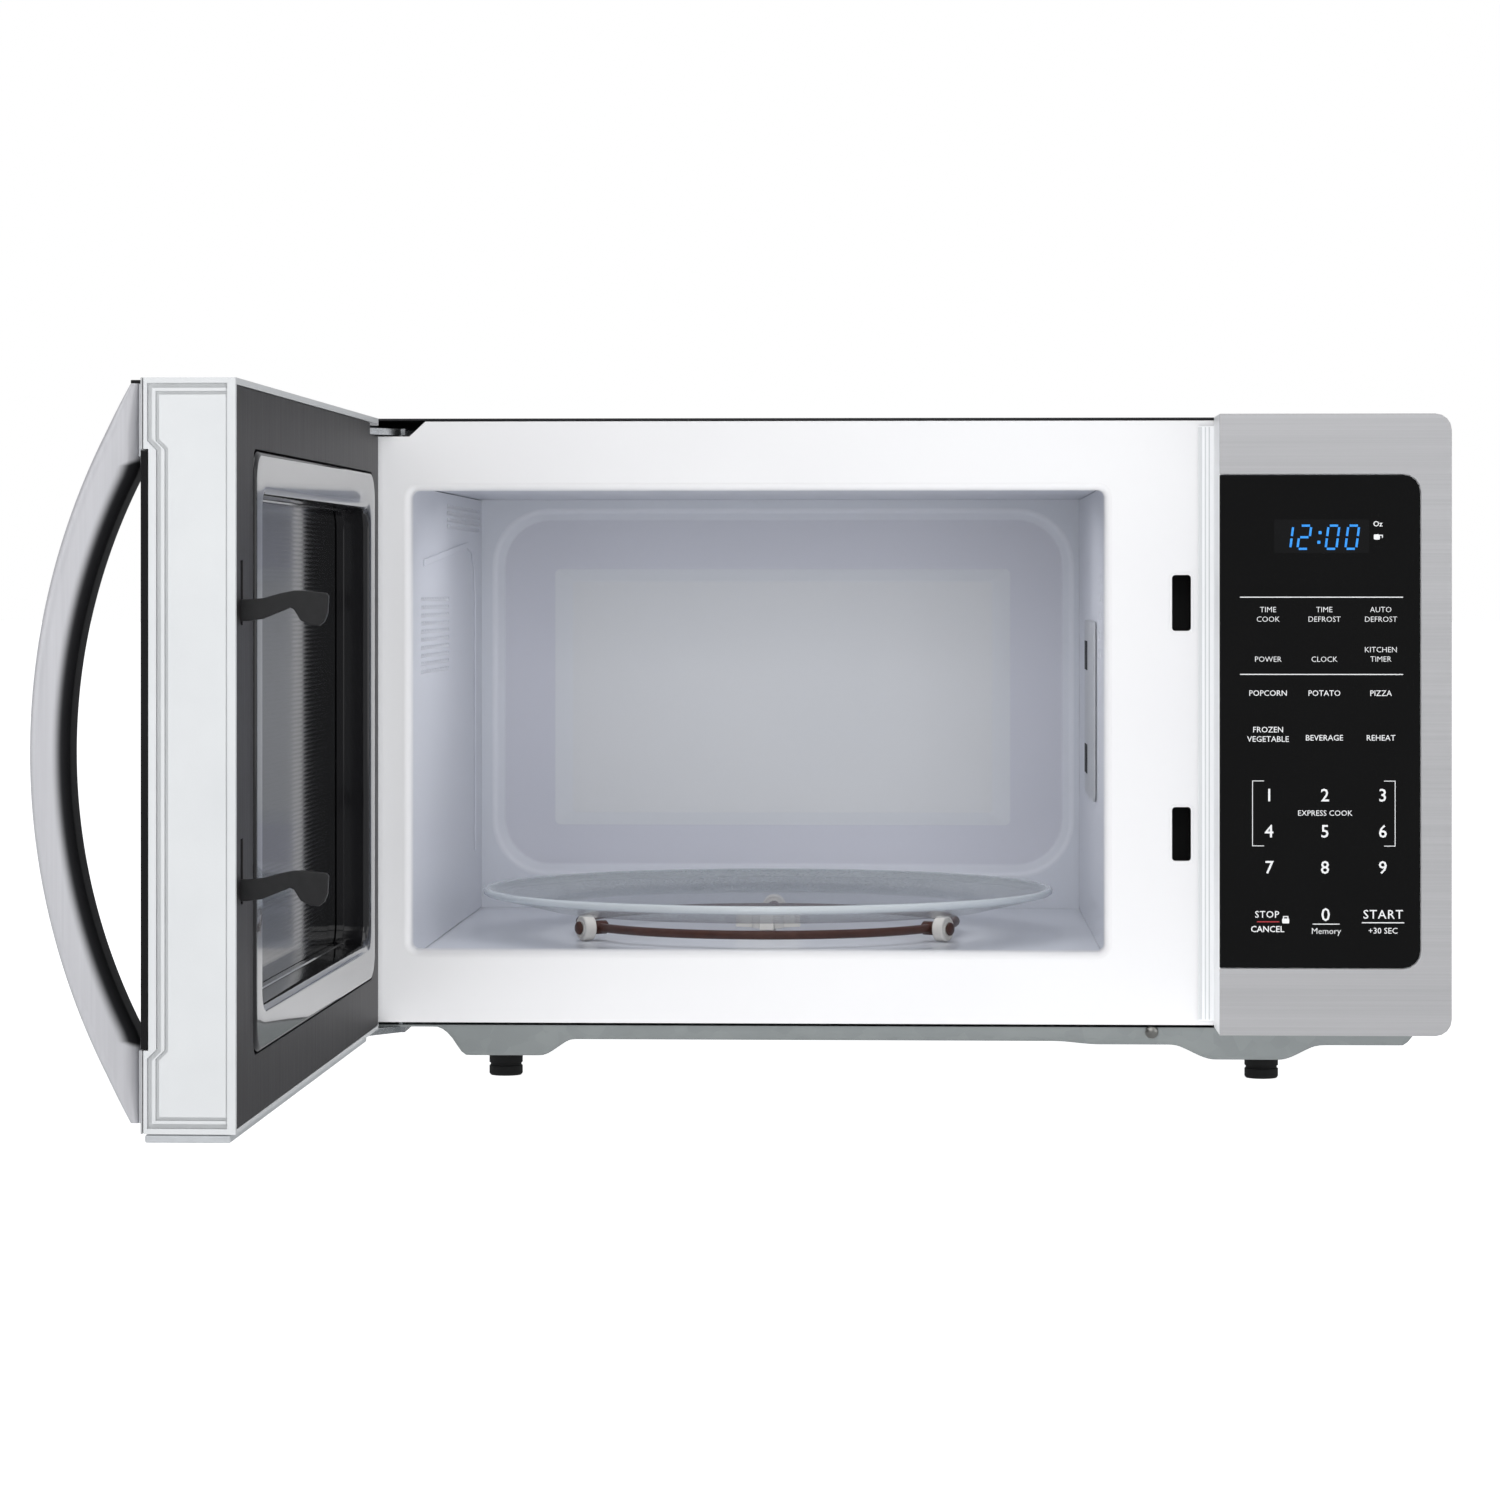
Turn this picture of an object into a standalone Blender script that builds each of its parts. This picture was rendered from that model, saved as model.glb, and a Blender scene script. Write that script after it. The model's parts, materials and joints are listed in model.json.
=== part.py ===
"""Countertop microwave oven with its door standing open, built as separate closed solids.

Working frame, in millimetres: X to the right from the middle of the case, Y into the case
with the front plate's face at 0, Z up from the feet. At the end everything moves together
so that the middle of the bottom of the whole object is at the origin.
"""
import math

import bmesh
import bpy
from mathutils import Matrix, Vector

MM = 0.001
GAP = 0.4

# case
HALF_WIDTH = 260.5
CASE_TOP = 313.0
CASE_DEPTH = 380.0
CABINET_BOTTOM = 29.5
SHEET = 1.0
PLATE_THICK = 1.2
PLATE_BOTTOM = 29.8
PLATE_TOP = 311.6
PLATE_HALF = 259.1

# cavity, inside faces
CAVITY_LEFT = -222.0
CAVITY_RIGHT = 105.0
CAVITY_FLOOR = 58.5
CAVITY_CEILING = 281.5
CAVITY_FRONT = 2.0
CAVITY_BACK = 350.0
WALL = 1.2
OPENING_LO = (-220.8, 63.7)
OPENING_HI = (103.9, 279.2)
OPENING_RADIUS = 5.5

# latch slots in the front plate: lowest and highest point
SLOT_X = (135.3, 144.1)
SLOT_UPPER = (213.5, 239.6)
SLOT_LOWER = (106.3, 131.4)

# turntable
TRAY_X = -59.0
TRAY_Y = 172.0
TRAY_RADIUS = 144.0
TRAY_UNDER = 71.7
TRAY_RIM = 82.5
RING_RADIUS = 95.0
ROLLER_CENTRE = 102.0
ROLLER_RADIUS = 6.3
ROLLER_HALF = 3.0
ROLLER_Z = CAVITY_FLOOR + 0.3 + ROLLER_RADIUS

# door, in its closed position
DOOR_LEFT = -260.5
DOOR_RIGHT = 153.5
DOOR_BOTTOM = 28.0
DOOR_TOP = 312.5
DOOR_INNER = -2.0
DOOR_FACE = -38.0
HINGE_X = -247.0
HINGE_Y = -14.6
HINGE_CORNER = 12.6
DOOR_OPEN = 90.7
GLASS_LEFT = -246.1
GLASS_BOTTOM = 59.8
GLASS_TOP = 285.2
LATCH_X = 139.0
LATCH_THICK = 3.2

# handle
HANDLE_X = (111.5, 133.5)
HANDLE_ENDS = (29.6, 311.2)
HANDLE_BASE = DOOR_FACE - GAP
HANDLE_REACH = 47.2
HANDLE_END_REACH = 7.7
FINGER_REACH = 27.2
FINGER_HALF = 114.0
SCREW_Z = (43.0, 298.0)

# control panel
PANEL_LEFT = 154.8
PANEL_BOTTOM = 28.8
PANEL_TOP = 313.2
PANEL_FACE = -38.2
PANEL_CORNER = 7.5

# feet
FOOT_X = 180.6
FOOT_Y = (50.0, 330.0)
FOOT_RADIUS = 8.0
PAN_BOTTOM = 21.6
POCKET_BOTTOM = 13.2
FOOT_TOP = POCKET_BOTTOM - GAP

# cooling fan
FAN_X = 185.0
FAN_Z = 200.0

AXIS_TURN = {
    "X": Matrix.Rotation(math.radians(90.0), 3, "Y"),
    "Y": Matrix.Rotation(math.radians(-90.0), 3, "X"),
    "Z": Matrix.Identity(3),
}


# ---------------------------------------------------------------- tools

def clear_scene():
    for old in list(bpy.data.objects):
        bpy.data.objects.remove(old)


def collection(name, hidden):
    made = bpy.data.collections.new(name)
    made.hide_render = hidden
    bpy.context.scene.collection.children.link(made)
    return made


def material(name, colour, roughness, metallic):
    made = bpy.data.materials.new(name)
    made.use_nodes = True
    shader = made.node_tree.nodes["Principled BSDF"]
    shader.inputs["Base Color"].default_value = (*colour, 1.0)
    shader.inputs["Roughness"].default_value = roughness
    shader.inputs["Metallic"].default_value = metallic
    made.diffuse_color = (*colour, 1.0)
    return made


def empty(name, place, parent=None, turn=(0.0, 0.0, 0.0)):
    made = bpy.data.objects.new(name, None)
    made.location = Vector(place) * MM
    made.rotation_euler = [math.radians(angle) for angle in turn]
    made.parent = parent
    PARTS.objects.link(made)
    return made


def block(lo, hi, shape=None):
    """A box between two corners, in a new mesh or added to one."""
    shape = shape or bmesh.new()
    made = bmesh.ops.create_cube(shape, size=MM)
    size = Vector(hi) - Vector(lo)
    middle = (Vector(hi) + Vector(lo)) / 2
    bmesh.ops.scale(shape, vec=size, verts=made["verts"])
    bmesh.ops.translate(shape, vec=middle * MM, verts=made["verts"])
    return shape


def taper(bottom, top, low, high, shape=None):
    """A box whose bottom and top rectangles (x0, y0, x1, y1) differ."""
    shape = shape or bmesh.new()
    made = bmesh.ops.create_cube(shape, size=2.0)
    for corner in made["verts"]:
        rectangle = top if corner.co.z > 0 else bottom
        x = rectangle[2] if corner.co.x > 0 else rectangle[0]
        y = rectangle[3] if corner.co.y > 0 else rectangle[1]
        z = high if corner.co.z > 0 else low
        corner.co = Vector((x, y, z)) * MM
    return shape


def rod(radius, start, length, axis, segments=24, shape=None, end_radius=None):
    """A cylinder or cone that starts at a point and runs along an axis."""
    shape = shape or bmesh.new()
    end_radius = radius if end_radius is None else end_radius
    made = bmesh.ops.create_cone(
        shape, cap_ends=True, segments=segments,
        radius1=radius * MM, radius2=end_radius * MM, depth=length * MM,
    )
    turn = AXIS_TURN[axis]
    along = turn @ Vector((0.0, 0.0, length / 2))
    bmesh.ops.rotate(shape, cent=(0, 0, 0), matrix=turn, verts=made["verts"])
    bmesh.ops.translate(shape, vec=(Vector(start) + along) * MM, verts=made["verts"])
    return shape


def round_edges(shape, direction, radius, segments, wanted=None):
    """Round the straight edges along a direction whose middles pass the test."""
    chosen = []
    for edge in shape.edges:
        line = (edge.verts[1].co - edge.verts[0].co).normalized()
        middle = (edge.verts[1].co + edge.verts[0].co) / 2 / MM
        if abs(line.dot(Vector(direction))) > 0.999 and (wanted is None or wanted(middle)):
            chosen.append(edge)
    bmesh.ops.bevel(
        shape, geom=chosen, offset=radius * MM, offset_type="OFFSET", segments=segments,
        profile=0.5, affect="EDGES", material=-1,
    )
    return shape


def rounded(lo, hi, direction, radius, segments=4, wanted=None):
    return round_edges(block(lo, hi), direction, radius, segments, wanted)


def flat_shape(points, thick):
    """A closed outline in X and Y made into a plate of this thickness, centred on Z = 0."""
    curve = bpy.data.curves.new("outline", "CURVE")
    curve.dimensions = "2D"
    curve.fill_mode = "BOTH"
    curve.extrude = thick / 2 * MM
    spline = curve.splines.new("POLY")
    spline.points.add(len(points) - 1)
    for knot, (x, y) in zip(spline.points, points):
        knot.co = (x * MM, y * MM, 0.0, 1.0)
    spline.use_cyclic_u = True
    holder = bpy.data.objects.new("outline", curve)
    CUTTERS.objects.link(holder)
    bpy.context.view_layer.update()
    graph = bpy.context.evaluated_depsgraph_get()
    mesh = bpy.data.meshes.new_from_object(holder.evaluated_get(graph))
    shape = bmesh.new()
    shape.from_mesh(mesh)
    bpy.data.objects.remove(holder)
    bpy.data.meshes.remove(mesh)
    bmesh.ops.remove_doubles(shape, verts=shape.verts, dist=0.00001)
    return shape


def upright(shape, x):
    """Stand an outline drawn in (Y, Z) up, with its middle at this X."""
    turn = Matrix(((0, 0, 1), (1, 0, 0), (0, 1, 0)))
    bmesh.ops.rotate(shape, cent=(0, 0, 0), matrix=turn, verts=shape.verts)
    bmesh.ops.translate(shape, vec=(x * MM, 0, 0), verts=shape.verts)
    return shape


def finish(shape, name, home, parent, pivot):
    bmesh.ops.recalc_face_normals(shape, faces=shape.faces)
    bmesh.ops.translate(shape, vec=-Vector(pivot) * MM, verts=shape.verts)
    mesh = bpy.data.meshes.new(name)
    shape.to_mesh(mesh)
    shape.free()
    made = bpy.data.objects.new(name, mesh)
    made.parent = parent
    home.objects.link(made)
    return made


def node(name, shape, look, parent=None, pivot=(0, 0, 0)):
    made = finish(shape, name, PARTS, parent or ROOT, pivot)
    made.data.materials.append(look)
    return made


def change(target, shape, mode, pivot=(0, 0, 0)):
    """Cut a shape from a node, join it on, or keep only what is common."""
    name = target.name + "_" + mode.lower() + str(len(target.modifiers))
    tool = finish(shape, name, CUTTERS, target.parent, pivot)
    tool.display_type = "WIRE"
    tool.hide_render = True
    step = target.modifiers.new(name, "BOOLEAN")
    step.operation = mode
    step.solver = "EXACT"
    step.object = tool
    return target


def cut(target, shape, pivot=(0, 0, 0)):
    return change(target, shape, "DIFFERENCE", pivot)


def join(target, shape, pivot=(0, 0, 0)):
    return change(target, shape, "UNION", pivot)


def slots(lo, hi, step, count, shape=None):
    """Equal boxes in a row."""
    for index in range(count):
        shift = Vector(step) * index
        shape = block(Vector(lo) + shift, Vector(hi) + shift, shape)
    return shape


# ---------------------------------------------------------------- case

def outer_cabinet():
    top_edges = lambda middle: middle.z > 200
    shape = rounded(
        (-HALF_WIDTH, 0, CABINET_BOTTOM), (HALF_WIDTH, CASE_DEPTH, CASE_TOP), (0, 1, 0), 4.0, 3,
        top_edges,
    )
    made = node("outer_cabinet", shape, BLACK_PAINT)
    inside = rounded(
        (-HALF_WIDTH + SHEET, -2, 10), (HALF_WIDTH - SHEET, CASE_DEPTH + 2, CASE_TOP - SHEET),
        (0, 1, 0), 3.0, 3, top_edges,
    )
    cut(made, inside)
    cut(made, slots((250, 60, 70), (270, 64, 110), (0, 12, 0), 8))
    cut(made, slots((-270, 250, 230), (-250, 254, 270), (0, 12, 0), 8))


def front_plate():
    shape = rounded(
        (-PLATE_HALF, 0, PLATE_BOTTOM), (PLATE_HALF, PLATE_THICK, PLATE_TOP), (0, 1, 0), 4.0, 3,
        lambda middle: middle.z > 200 and middle.x > 0,
    )
    made = node("front_plate", shape, WHITE_ENAMEL)
    cut(made, rounded(
        (OPENING_LO[0], -2, OPENING_LO[1]), (OPENING_HI[0], 4, OPENING_HI[1]), (0, 1, 0),
        OPENING_RADIUS, 4,
    ))
    for low, high in (SLOT_UPPER, SLOT_LOWER):
        cut(made, block((SLOT_X[0], -2, low), (SLOT_X[1], 4, high)))
    cut(made, taper((-262, -2, -223, 4), (-262, -2, -211, 4), 304.6, 314.0))
    cut(made, block((175, -2, 70), (245, 4, 280)))


def rear_panel():
    shape = rounded(
        (-PLATE_HALF, 377.0, 18.5), (PLATE_HALF, 378.0, PLATE_TOP), (0, 1, 0), 4.0, 3,
        lambda middle: middle.z > 200,
    )
    made = node("rear_panel", shape, GALVANISED)
    cut(made, slots((150, 370, 165), (220, 385, 169), (0, 0, 12), 7))
    cut(made, slots((-200, 370, 255), (-196, 385, 290), (12, 0, 0), 12))
    cut(made, rod(8.0, (225, 370, 60), 20, "Y", 20))
    gland = node("cord_gland", rod(11.0, (225, 378.4, 60), 2.6, "Y", 20), BLACK_PLASTIC)
    join(gland, rod(7.6, (225, 372, 60), 8, "Y", 20))
    cut(gland, rod(4.5, (225, 365, 60), 25, "Y", 16))


def pocket(across, along, shrink):
    """A tapered box: left and right at its bottom, then at its top, and the same from front to rear."""
    left, right, left_top, right_top = across
    front, rear, front_top, rear_top = along
    return taper(
        (left + shrink, front + shrink, right - shrink, rear - shrink),
        (left_top + shrink, front_top + shrink, right_top - shrink, rear_top - shrink),
        POCKET_BOTTOM + shrink, PAN_BOTTOM + 0.5 + shrink,
    )


def base_pan():
    made = node(
        "base_pan",
        taper((-199, 6, 247, 372), (-214, 3, 251, 375.5), PAN_BOTTOM, 29.0),
        GALVANISED,
    )
    sides = ((-197.0, -165.0, -198.5, -156.0), (159.0, 201.0, 146.0, 213.0))
    ends = ((11.0, 68.0, 8.5, 76.0), (312.0, 364.0, 304.0, 368.0))
    for side in sides:
        for end in ends:
            join(made, pocket(side, end, 0.0))
    join(made, block((-258.5, 41, 27.8), (-212, 375.4, 28.8)))
    join(made, block((249, 3.2, 27.8), (258.5, 375.4, 28.8)))
    cut(made, taper((-198.2, 7, 246, 371), (-213.4, 4.2, 250, 374.3), PAN_BOTTOM + SHEET, 29.6))
    for side in sides:
        for end in ends:
            cut(made, pocket(side, end, 1.0))


def feet():
    for x, side in ((-FOOT_X, "left"), (FOOT_X, "right")):
        for y, end in zip(FOOT_Y, ("front", "rear")):
            shape = rod(FOOT_RADIUS, (x, y, 1.0), FOOT_TOP - 1.0, "Z", 20)
            made = node("foot_" + end + "_" + side, shape, BLACK_RUBBER)
            join(made, rod(7.0, (x, y, 0), 1.2, "Z", 20, end_radius=8.2))


def hinge_tongue(name, low, flange):
    """A steel tongue from inside the case out to the pin, with the flange that carries it."""
    shape = block((-258.5, 4, low), (-224, 40, low + 3))
    made = node(name, shape, ZINC)
    nose = bmesh.new()
    corners = bmesh.ops.create_cube(nose, size=2.0)["verts"]
    for corner in corners:
        inner = corner.co.y > 0
        left = -258.0 if inner else -255.2
        right = -224.5 if inner else -238.8
        x = right if corner.co.x > 0 else left
        z = low + 3 if corner.co.z > 0 else low
        corner.co = Vector((x, 6.0 if inner else HINGE_Y + 0.7, z)) * MM
    join(made, nose)
    join(made, rod(8.5, (HINGE_X, HINGE_Y, low), 3, "Z", 24))
    join(made, block(*flange))
    cut(made, rod(3.3, (HINGE_X, HINGE_Y, low - 5), 14, "Z", 16))


def hinges():
    hinge_tongue("hinge_bracket_upper", 305.3, ((-227, 5, 286), (-225.2, 38, 307)))
    hinge_tongue("hinge_bracket_lower", 24.6, ((-227, 5, 26), (-225.2, 38, 52)))
    node("hinge_pin_upper", rod(3.0, (HINGE_X, HINGE_Y, 298), 13, "Z", 16), ZINC)
    node("hinge_pin_lower", rod(3.0, (HINGE_X, HINGE_Y, 23.0), 17, "Z", 16), ZINC)


# ---------------------------------------------------------------- cavity

def cavity_walls():
    side_low = CAVITY_FLOOR + GAP
    left = node(
        "cavity_left_wall",
        block((CAVITY_LEFT - WALL, CAVITY_FRONT, side_low), (CAVITY_LEFT, CAVITY_BACK, CAVITY_CEILING)),
        CAVITY_ENAMEL,
    )
    for row in (265.0, 272.0):
        cut(left, slots((-230, 172, row), (-215, 184, row + 3), (0, 17, 0), 10))
    for row in (195.0, 209.0, 223.0):
        cut(left, slots((-230, 122, row), (-215, 136, row + 4), (0, 20, 0), 4))
    right = node(
        "cavity_right_wall",
        block((CAVITY_RIGHT, CAVITY_FRONT, side_low), (CAVITY_RIGHT + WALL, CAVITY_BACK, CAVITY_CEILING)),
        CAVITY_ENAMEL,
    )
    for column in (70.0, 78.0):
        cut(right, slots((100, column, 201), (110, column + 4, 206), (0, 0, 9), 4))
    cut(right, block((100, 126, 136), (110, 224, 209)))
    node(
        "cavity_ceiling",
        block(
            (CAVITY_LEFT - WALL, CAVITY_FRONT, CAVITY_CEILING + GAP),
            (CAVITY_RIGHT + WALL, CAVITY_BACK, CAVITY_CEILING + GAP + WALL),
        ),
        CAVITY_ENAMEL,
    )
    floor = node(
        "cavity_floor",
        block(
            (CAVITY_LEFT - WALL, CAVITY_FRONT, CAVITY_FLOOR - WALL),
            (CAVITY_RIGHT + WALL, CAVITY_BACK, CAVITY_FLOOR),
        ),
        CAVITY_ENAMEL,
    )
    cut(floor, rod(8.0, (TRAY_X, TRAY_Y, 50), 20, "Z", 20))
    rear = node(
        "cavity_rear_wall",
        block(
            (CAVITY_LEFT - WALL, CAVITY_BACK + GAP, CAVITY_FLOOR - WALL),
            (CAVITY_RIGHT + WALL, CAVITY_BACK + GAP + WALL, CAVITY_CEILING + GAP + WALL),
        ),
        CAVITY_ENAMEL,
    )
    join(rear, block((-180.5, CAVITY_BACK - 1.4, 106), (66, CAVITY_BACK + 1.0, 242)))
    cut(rear, block((-179.3, CAVITY_BACK - 0.2, 107.2), (64.8, CAVITY_BACK + 4, 240.8)))
    node("waveguide_cover", block((103.6, 118, 128), (104.6, 232, 217)), MICA)


# ---------------------------------------------------------------- turntable

def turntable():
    centre = (TRAY_X, TRAY_Y, CAVITY_FLOOR)
    spin = empty("tray_axis", centre, ROOT)
    coupler = node("tray_coupler", rod(4.0, (TRAY_X, TRAY_Y, 55), 8, "Z", 16), WHITE_NYLON, spin, centre)
    head = rod(8.0, (TRAY_X, TRAY_Y, 61.5), 9.3, "Z", 18)
    join(coupler, head, centre)
    for index in range(3):
        arm = block((0, -3.5, 61.5), (17, 3.5, 70.0))
        turn = Matrix.Rotation(math.radians(30 + 120 * index), 3, "Z")
        bmesh.ops.rotate(arm, cent=(0, 0, 0), matrix=turn, verts=arm.verts)
        bmesh.ops.translate(arm, vec=(TRAY_X * MM, TRAY_Y * MM, 0), verts=arm.verts)
        join(coupler, arm, centre)
    tray(spin)
    ring_and_rollers()


def tray(spin):
    profile = (
        (TRAY_RADIUS, TRAY_RIM),
        (TRAY_RADIUS, TRAY_RIM - 3.5),
        (112.0, TRAY_UNDER),
        (0.0, TRAY_UNDER),
        (0.0, TRAY_UNDER + 4.2),
        (110.0, TRAY_UNDER + 4.2),
        (TRAY_RADIUS - 5.0, TRAY_RIM),
    )
    shape = bmesh.new()
    corners = [shape.verts.new((x * MM, 0, (z - CAVITY_FLOOR) * MM)) for x, z in profile]
    pairs = list(zip(corners[:3], corners[1:4])) + list(zip(corners[4:], corners[5:]))
    pairs.append((corners[-1], corners[0]))
    for start, end in pairs:
        shape.edges.new((start, end))
    mesh = bpy.data.meshes.new("glass_tray")
    shape.to_mesh(mesh)
    shape.free()
    made = bpy.data.objects.new("glass_tray", mesh)
    made.parent = spin
    PARTS.objects.link(made)
    made.data.materials.append(CLEAR_GLASS)
    lathe = made.modifiers.new("lathe", "SCREW")
    lathe.steps = 64
    lathe.render_steps = 64
    lathe.use_merge_vertices = True
    lathe.merge_threshold = 0.00001
    lathe.use_normal_calculate = True
    for index in range(3):
        angle = math.radians(90 + 120 * index)
        foot = (20 * math.cos(angle), 20 * math.sin(angle), 64.5 - CAVITY_FLOOR)
        join(made, rod(3.5, foot, TRAY_UNDER + 1.0 - 64.5, "Z", 12))


def ring_and_rollers():
    hub = empty("ring_axis", (TRAY_X, TRAY_Y, ROLLER_Z), ROOT)
    ring = bpy.data.curves.new("ring_path", "CURVE")
    ring.dimensions = "3D"
    ring.bevel_depth = 2.2 * MM
    ring.bevel_resolution = 1
    path = ring.splines.new("POLY")
    count = 48
    path.points.add(count - 1)
    for index, knot in enumerate(path.points):
        angle = 2 * math.pi * index / count
        knot.co = (RING_RADIUS * MM * math.cos(angle), RING_RADIUS * MM * math.sin(angle), 0, 1)
    path.use_cyclic_u = True
    holder = bpy.data.objects.new("ring_path", ring)
    CUTTERS.objects.link(holder)
    bpy.context.view_layer.update()
    graph = bpy.context.evaluated_depsgraph_get()
    mesh = bpy.data.meshes.new_from_object(holder.evaluated_get(graph))
    shape = bmesh.new()
    shape.from_mesh(mesh)
    bpy.data.objects.remove(holder)
    bpy.data.meshes.remove(mesh)
    bmesh.ops.remove_doubles(shape, verts=shape.verts, dist=0.00001)
    made = node("roller_ring", shape, BROWN_PLASTIC, hub)
    names = ("roller_front_left", "roller_front_right", "roller_back")
    for name, angle in zip(names, (-150, -30, 90)):
        turn = Matrix.Rotation(math.radians(angle), 3, "Z")
        boss = block((RING_RADIUS - 3.4, -6.5, -3.4), (RING_RADIUS + 3.4, 6.5, 3.4))
        bmesh.ops.rotate(boss, cent=(0, 0, 0), matrix=turn, verts=boss.verts)
        join(made, boss)
        axle = rod(2.0, (RING_RADIUS, 0, 0), 12.5, "X", 12)
        bmesh.ops.rotate(axle, cent=(0, 0, 0), matrix=turn, verts=axle.verts)
        join(made, axle)
        place = turn @ Vector((ROLLER_CENTRE, 0, 0))
        spot = empty(name + "_axis", place, hub, (0, 0, angle))
        wheel = rod(ROLLER_RADIUS, (-ROLLER_HALF, 0, 0), 2 * ROLLER_HALF, "X", 24)
        roller = node(name, wheel, WHITE_NYLON, spot)
        cut(roller, rod(2.3, (-10, 0, 0), 20, "X", 12))


# ---------------------------------------------------------------- door

def door_pieces():
    pin = (HINGE_X, HINGE_Y, 0)
    swing = empty("door_hinge", pin, ROOT, (0, 0, -DOOR_OPEN))
    door_frame(swing, pin)
    door_front(swing, pin)
    door_inside(swing, pin)
    door_handle(swing, pin)
    latch(swing, pin)


def door_frame(swing, pin):
    shape = rounded(
        (DOOR_LEFT, -36.9, DOOR_BOTTOM), (DOOR_RIGHT, DOOR_INNER, DOOR_TOP), (0, 0, 1),
        HINGE_CORNER, 6, lambda middle: middle.x < 0 and middle.y > -10,
    )
    made = node("door_frame", shape, WHITE_PLASTIC, swing, pin)
    outline = rounded(
        (DOOR_LEFT - 0.01, -60, DOOR_BOTTOM - 0.01), (DOOR_RIGHT + 10, 20, DOOR_TOP + 0.01),
        (0, 1, 0), 7.5, 4, lambda middle: middle.x < 0,
    )
    change(made, outline, "INTERSECT", pin)
    cut(made, block((-247.3, -5.0, 29.7), (150.8, 5, 310.0)), pin)
    cut(made, block((-237, -33.2, 31.5), (148, -4.5, 308.5)), pin)
    stile = rounded(
        (-258, -33.2, 56), (-230, -4.5, 284), (0, 0, 1), 10.1, 5,
        lambda middle: middle.x < -250 and middle.y > -10,
    )
    cut(made, stile, pin)
    cut(made, block((-246.5, -45, 59.4), (160, -35.0, 285.6)), pin)
    cut(made, rounded((-215, -45, 67), (98, -20, 273), (0, 1, 0), 5.0, 3), pin)
    cut(made, block((-265, -28.5, 304.2), (-219, 5, 309.3)), pin)
    cut(made, rod(3.3, (HINGE_X, HINGE_Y, 297), 14.6, "Z", 16), pin)
    cut(made, rod(3.3, (HINGE_X, HINGE_Y, 20), 21, "Z", 16), pin)
    for z in SCREW_Z:
        cut(made, rod(2.5, (122.5, -45, z), 20, "Y", 12), pin)
    join(made, block((134.5, -27, 266.6), (148.6, -10, 269.6)), pin)


def door_front(swing, pin):
    left = lambda middle: middle.x < 0
    shape = rounded(
        (DOOR_LEFT, DOOR_FACE, DOOR_BOTTOM), (DOOR_RIGHT, DOOR_FACE + 0.7, DOOR_TOP), (0, 1, 0),
        7.5, 4, left,
    )
    trim = node("door_front_trim", shape, BRUSHED_STEEL, swing, pin)
    cut(trim, block((-246.4, -50, 59.5), (170, -30, 285.5)), pin)
    for z in SCREW_Z:
        cut(trim, rod(2.5, (122.5, -45, z), 20, "Y", 12), pin)
    node(
        "door_front_glass",
        block((GLASS_LEFT, DOOR_FACE, GLASS_BOTTOM), (DOOR_RIGHT, DOOR_FACE + 2.6, GLASS_TOP)),
        BLACK_GLASS, swing, pin,
    )
    node(
        "door_bottom_rail", block((-222, -36.5, 24.6), (152.8, -4, 27.6)), SILVER_PLASTIC, swing, pin,
    )


def door_inside(swing, pin):
    cover = node(
        "door_choke_cover", block((-247.0, -4.7, 30.0), (150.5, DOOR_INNER, 309.7)),
        BROWN_GREY, swing, pin,
    )
    cut(cover, rounded((-228.9, -10, 53.1), (111.9, 5, 286.9), (0, 1, 0), 6.4, 4), pin)
    for low, high in ((219.3, 243.8), (113.5, 138.3)):
        cut(cover, block((136.4, -10, low), (141.6, 5, high)), pin)
    cut(cover, block((-265, -28.5, 304.2), (-219, 5, 315)), pin)

    bezel = node(
        "door_window_bezel",
        rounded((-228.5, -16.2, 53.5), (111.5, -0.8, 286.5), (0, 1, 0), 6.0, 4),
        BLACK_GLOSS, swing, pin,
    )
    cut(bezel, rounded((-210.5, -30, 71.5), (93.5, 5, 268.5), (0, 1, 0), 5.0, 4), pin)
    node("door_window_film", block((-213, -18.0, 69), (96, -16.6, 271)), DARK_FILM, swing, pin)
    screen = node(
        "door_screen_panel", block((-233, -20.4, 36), (133, -6, 303)), PAINTED_STEEL, swing, pin,
    )
    cut(screen, block((-231.8, -19.2, 37.2), (131.8, 0, 301.8)), pin)


def arc(sagitta, half, count):
    """Points of a shallow arc as (reach, height), from the bottom end to the top end."""
    radius = (half * half + sagitta * sagitta) / (2 * sagitta)
    span = math.asin(half / radius)
    points = []
    for step in range(count + 1):
        angle = -span + 2 * span * step / count
        points.append((radius * math.cos(angle) - (radius - sagitta), radius * math.sin(angle)))
    return points


def door_handle(swing, pin):
    middle = (HANDLE_ENDS[0] + HANDLE_ENDS[1]) / 2
    half = (HANDLE_ENDS[1] - HANDLE_ENDS[0]) / 2
    outline = []
    for reach, height in arc(HANDLE_REACH - HANDLE_END_REACH, half, 24):
        outline.append((DOOR_FACE - HANDLE_END_REACH - reach, middle + height))
    outline.append((HANDLE_BASE, HANDLE_ENDS[1]))
    for reach, height in reversed(arc(FINGER_REACH - GAP, FINGER_HALF, 20)):
        outline.append((HANDLE_BASE - reach, middle + height))
    outline.append((HANDLE_BASE, HANDLE_ENDS[0]))
    shape = flat_shape(outline, HANDLE_X[1] - HANDLE_X[0])
    upright(shape, sum(HANDLE_X) / 2)
    made = node("door_handle", shape, SILVER_PLASTIC, swing, pin)
    for z, name in zip(SCREW_Z, ("handle_screw_lower", "handle_screw_upper")):
        cut(made, rod(2.4, (122.5, -43.4, z), 10, "Y", 12), pin)
        screw = node(name, rod(2.0, (122.5, -43.0, z), 11, "Y", 12), ZINC, swing, pin)
        join(screw, rod(4.5, (122.5, -32.8, z), 3.0, "Y", 12), pin)


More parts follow.
